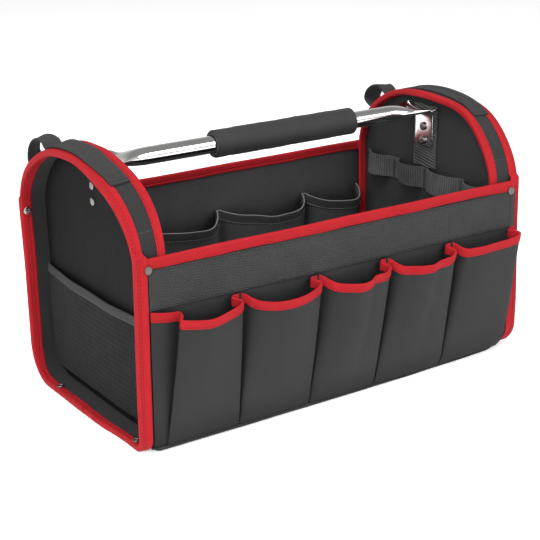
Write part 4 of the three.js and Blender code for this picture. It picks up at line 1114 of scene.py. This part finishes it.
def strip(pockets, levels):
    """Grid of a strip of pockets at some heights, from 0 at the foot to 1 at the mouth."""
    grid = []
    for v in levels:
        bends = []
        for i, folds in enumerate(pockets.folds):
            for along, out, drop in folds:
                pulled = pockets.pull * foot_pull(along, i == 0, i == len(pockets.folds) - 1)
                foot = mix(*pockets.feet[i:i + 2], min(along, 0.985) - pulled)
                rest = 3.4 * out / (out + 8)  # the folds lie one on another along the foot
                bends.append((mix(foot, mix(*pockets.seams[i:i + 2], along), v),
                              mix(pockets.foot, pockets.top - drop, v), mix(rest, out, max(v, 0) ** 0.95)))
        x, height, out = smooth(bends, FOLD_STEPS).T
        spot = spots(x, 0 * x, height)
        loose = np.clip(out / 20, 0, 1)
        out = np.maximum(out, 0) + loose * (0.45 * waver(spot, 48, 81) + 0.2 * waver(spot, 17, 82)) * v
        height = height + loose * 0.8 * waver(spot * [1, 1, 0.2], 40, 83) * v ** 4
        grid.append(wall_points(pockets.edge, x, height, pockets.lift + pockets.scale * out))
    return np.array(grid)


def pocket_strip(pockets, steps, material):
    """A strip of pockets, and its length along the mouth in metres."""
    levels = np.concatenate([np.linspace(0, 0.12, steps[0]), np.linspace(0.15, 1, steps[1])])
    grid = strip(pockets, levels)
    made = cloth(f"{pockets.name}_strip", grid, POCKET_CLOTH_THICK, material)
    piece(made, "pocket_cloth", *[f"{pockets.name}_{i + 1}" for i in range(len(pockets.folds))])
    return made, round(run(grid[-1])[-1] * MM, 3)


def mouth_tape(name, pockets, width, half, tape, material):
    """Tape folded over the mouth of a strip of pockets, the rows that it follows and their way out."""
    down = np.array([width, width - 0.5, width - 1.2, width - 2.2, width - 3.2, width * 0.45, width * 0.25,
                     0.8, 0])
    grid = strip(pockets, 1 - down / (pockets.top - pockets.foot))
    n = normals(grid)
    rise = unit(grid[-1] - grid[-3])
    dip = np.array([0.45, 0.15, 0.05, 0.25, 0.05, 0, 0, 0, 0])[:, None, None]

    def side(h, sewn):
        turn = np.radians(np.linspace(0, 180, 9)[1:-1])
        nose = [grid[-1] + rise * h * math.sin(q) + n[-1] * h * math.cos(q) for q in turn]
        whole = np.concatenate([grid + n * (h - dip * sewn), nose, (grid - n * (h - dip * sewn))[::-1]])
        return np.swapaxes(whole, 0, 1)

    out = -n * np.sign(n[3, :, 1].mean())
    return shell(name, side(half, 1.0), side(half - tape, 0.0), material), grid, out


# Piping along the foot of the front pockets: its ends, where it comes free of the tape, and its radius
PIPING_LEFT, PIPING_FREE, PIPING_RIGHT, PIPING_RADIUS = -236, -228, 224, 2.4


def foot_piping():
    foot = np.linspace(PIPING_LEFT, PIPING_RIGHT, 160)
    free = ease(PIPING_LEFT, PIPING_FREE, foot)
    height = mix(3.8, 5.8, free) + 0.3 * waver(spots(foot, 0.0, 0.0), 45, 91)
    line = wall_points("front", foot, height, mix(5.0, 9.2, free))
    thick = PIPING_RADIUS * np.minimum(mix(0.62, 1, free), np.sqrt((PIPING_RIGHT + 0.4 - foot) / 12))
    piece(loft("front_foot_piping", tube(line, thick[:, None, None], 16), BODY_CLOTH), "cloth")


def front_pockets():
    made, length = pocket_strip(FRONT, (8, 34), POCKET_CLOTH)
    tape, rows, out = mouth_tape("front_pocket_tape", FRONT, 8.5, 1.45, 0.9, RED_TAPE)
    piece(tape, "tape", "front_pocket_binding")
    lines = [seam(rows[3] + out[3] * 1.2, out[3])]
    sewn = [piece(threads("front_pocket_stitches", lines, RED_THREAD), "tape")]
    columns = np.cumsum([len(f) for f in FOLDS])[:-1] * FOLD_STEPS - 2
    tacks = [bar_tack(rows[-1, c] + [0, -1.5, -0.9], np.array([1.0, 0, 0]), np.array([0, -1.0, 0]), 7.5, 3.2)
             for c in columns]
    sewn.append(piece(threads("front_pocket_tacks", tacks, BLACK_THREAD, 0.4, 0.45), "tape"))


def inside_pockets():
    made, length = pocket_strip(INSIDE, (5, 26), BODY_CLOTH)
    hem, rows, out = mouth_tape("inside_hem", INSIDE, HEM, 1.35, 0.6, HEM_CLOTH)
    piece(hem, "hem", "inside_pocket_hem")
    lines = [seam(rows[2] + out[2] * 1.25, out[2], 2.6, 0.9)]
    sewn = [piece(threads("inside_hem_stitches", lines, GREY_THREAD_AND_HIGHLIGHT, 0.34, 0.28), "hem")]
    # Painted highlight: a thin light-grey cord along the hem's top edge stands for the light caught on that
    # edge.
    edge = rows[-1] + unit(rows[-1] - rows[-3]) * 1.2
    sewn.append(piece(loft("inside_hem_highlight_cord", tube(edge, 0.55, 6), GREY_THREAD_AND_HIGHLIGHT), "hem"))


front_pockets()
foot_piping()
inside_pockets()

# Ribbed webbing along the front wall
BAND_LEFT, BAND_RIGHT, BAND_LOW, BAND_HIGH, BAND_RIB = -234.4, 241.2, 151.2, 192.4, 2.4
BAND_CORE, BAND_RELIEF = 0.6, 0.2


def front_webbing():
    x = np.arange(BAND_LEFT, BAND_RIGHT, 0.4)[None]
    z = np.linspace(BAND_LOW, BAND_HIGH, 12)[:, None]
    ribs = BAND_RELIEF * np.cos(2 * np.pi * x / BAND_RIB) + 0 * z
    over_tape = 1.3 * ease(233.5, 235.6, x)
    grid = wall_points("front", x, z, WALL_OUT + GAP + BAND_CORE + over_tape)
    out = np.array([0, -1.0, 0])
    skin, lining = grid + out * (BAND_CORE + ribs)[..., None], grid - out * BAND_CORE
    made = shell("front_webbing_band", skin, lining, WEBBING)
    piece(made, "webbing", "front_webbing")
    along = np.linspace(-234, 233, 200)
    lines = [seam(wall_points("front", along, height, WALL_OUT + GAP + 1.35), out, 2.6, 1.1)
             for height in (BAND_LOW + 2, BAND_HIGH - 1.8)]
    sewn = piece(threads("front_webbing_stitches", lines, BLACK_THREAD, 0.32, 0.3), "webbing")


front_webbing()

# Floor, light and camera
FLOOR_HALF, FLOOR_DROP = 9000, 0.4
corners = FLOOR_HALF * np.array([(-1, -1), (1, -1), (1, 1), (-1, 1)], float)
corners = spots(corners[:, 0], corners[:, 1], -FLOOR_DROP)
floor = make("floor", corners, [np.array([[0, 1, 2, 3]])], None, PALE)

# Brightness of the studio from the horizon up to the zenith
SKY = ((0.0, 0.9), (0.05, 0.6), (0.33, 0.75), (0.5, 0.5), (0.75, 0.28), (1.0, 0.3))
# Softboxes: place and size in metres, power
LAMPS = dict(key=((1.1, -2.2, 1.4), (1.6, 1.2), 42), fill=((-2.0, -1.6, 1.1), (1.2, 1.2), 48),
             top=((-0.6, -0.5, 2.3), (1.8, 1.2), 70))
LAMP_AIM = np.array([0, 0, 0.1])
# The photo's view: place in millimetres, angles in degrees, focal length and sensor
VIEW_PLACE, VIEW_YAW, VIEW_PITCH, VIEW_ROLL = np.array([-836.54, -1238.25, 638.79]), -33.81, 19.49, -0.49
VIEW_LENS, VIEW_SENSOR = 93.56, 36

world = bpy.data.worlds.new("studio")
bpy.context.scene.world = world
world.use_nodes = True
sky = Nodes(world.node_tree)
height = sky.node("SeparateXYZ", sky.node("TexCoord").outputs["Generated"]).outputs[2]
background = sky.tree.nodes["Background"]
sky.put(background.inputs["Color"], sky.ramp(height, *((at, (tone,) * 3) for at, tone in SKY)))
background.inputs["Strength"].default_value = 1.0


def stand(name, data, place, right, up, back):
    """Puts a lamp or camera at a place, turned by its three axes."""
    made = bpy.data.objects.new(name, data)
    made.matrix_world = Matrix([[right[i], up[i], back[i], place[i]] for i in range(3)] + [[0, 0, 0, 1]])
    bpy.context.collection.objects.link(made)
    return made


for name, (place, size, power) in LAMPS.items():
    lamp = bpy.data.lights.new(name, "AREA")
    lamp.shape, lamp.size, lamp.size_y, lamp.energy = "RECTANGLE", *size, power
    back = unit(np.array(place) - LAMP_AIM)
    right = unit(np.cross([0, 0, 1.0], back))
    stand(name, lamp, place, right, np.cross(back, right), back)

yaw, pitch, roll = (math.radians(a) for a in (VIEW_YAW, VIEW_PITCH, VIEW_ROLL))
back = np.array([math.sin(yaw) * math.cos(pitch), -math.cos(yaw) * math.cos(pitch), math.sin(pitch)])
right = unit(np.cross(-back, [0, 0, 1.0]))
up = np.cross(right, -back)
right, up = math.cos(roll) * right + math.sin(roll) * up, -math.sin(roll) * right + math.cos(roll) * up
lens = bpy.data.cameras.new("view")
lens.lens, lens.sensor_width = VIEW_LENS, VIEW_SENSOR
bpy.context.scene.camera = stand("view", lens, VIEW_PLACE * MM, right, up, back)
bpy.context.scene.view_settings.view_transform = "Standard"
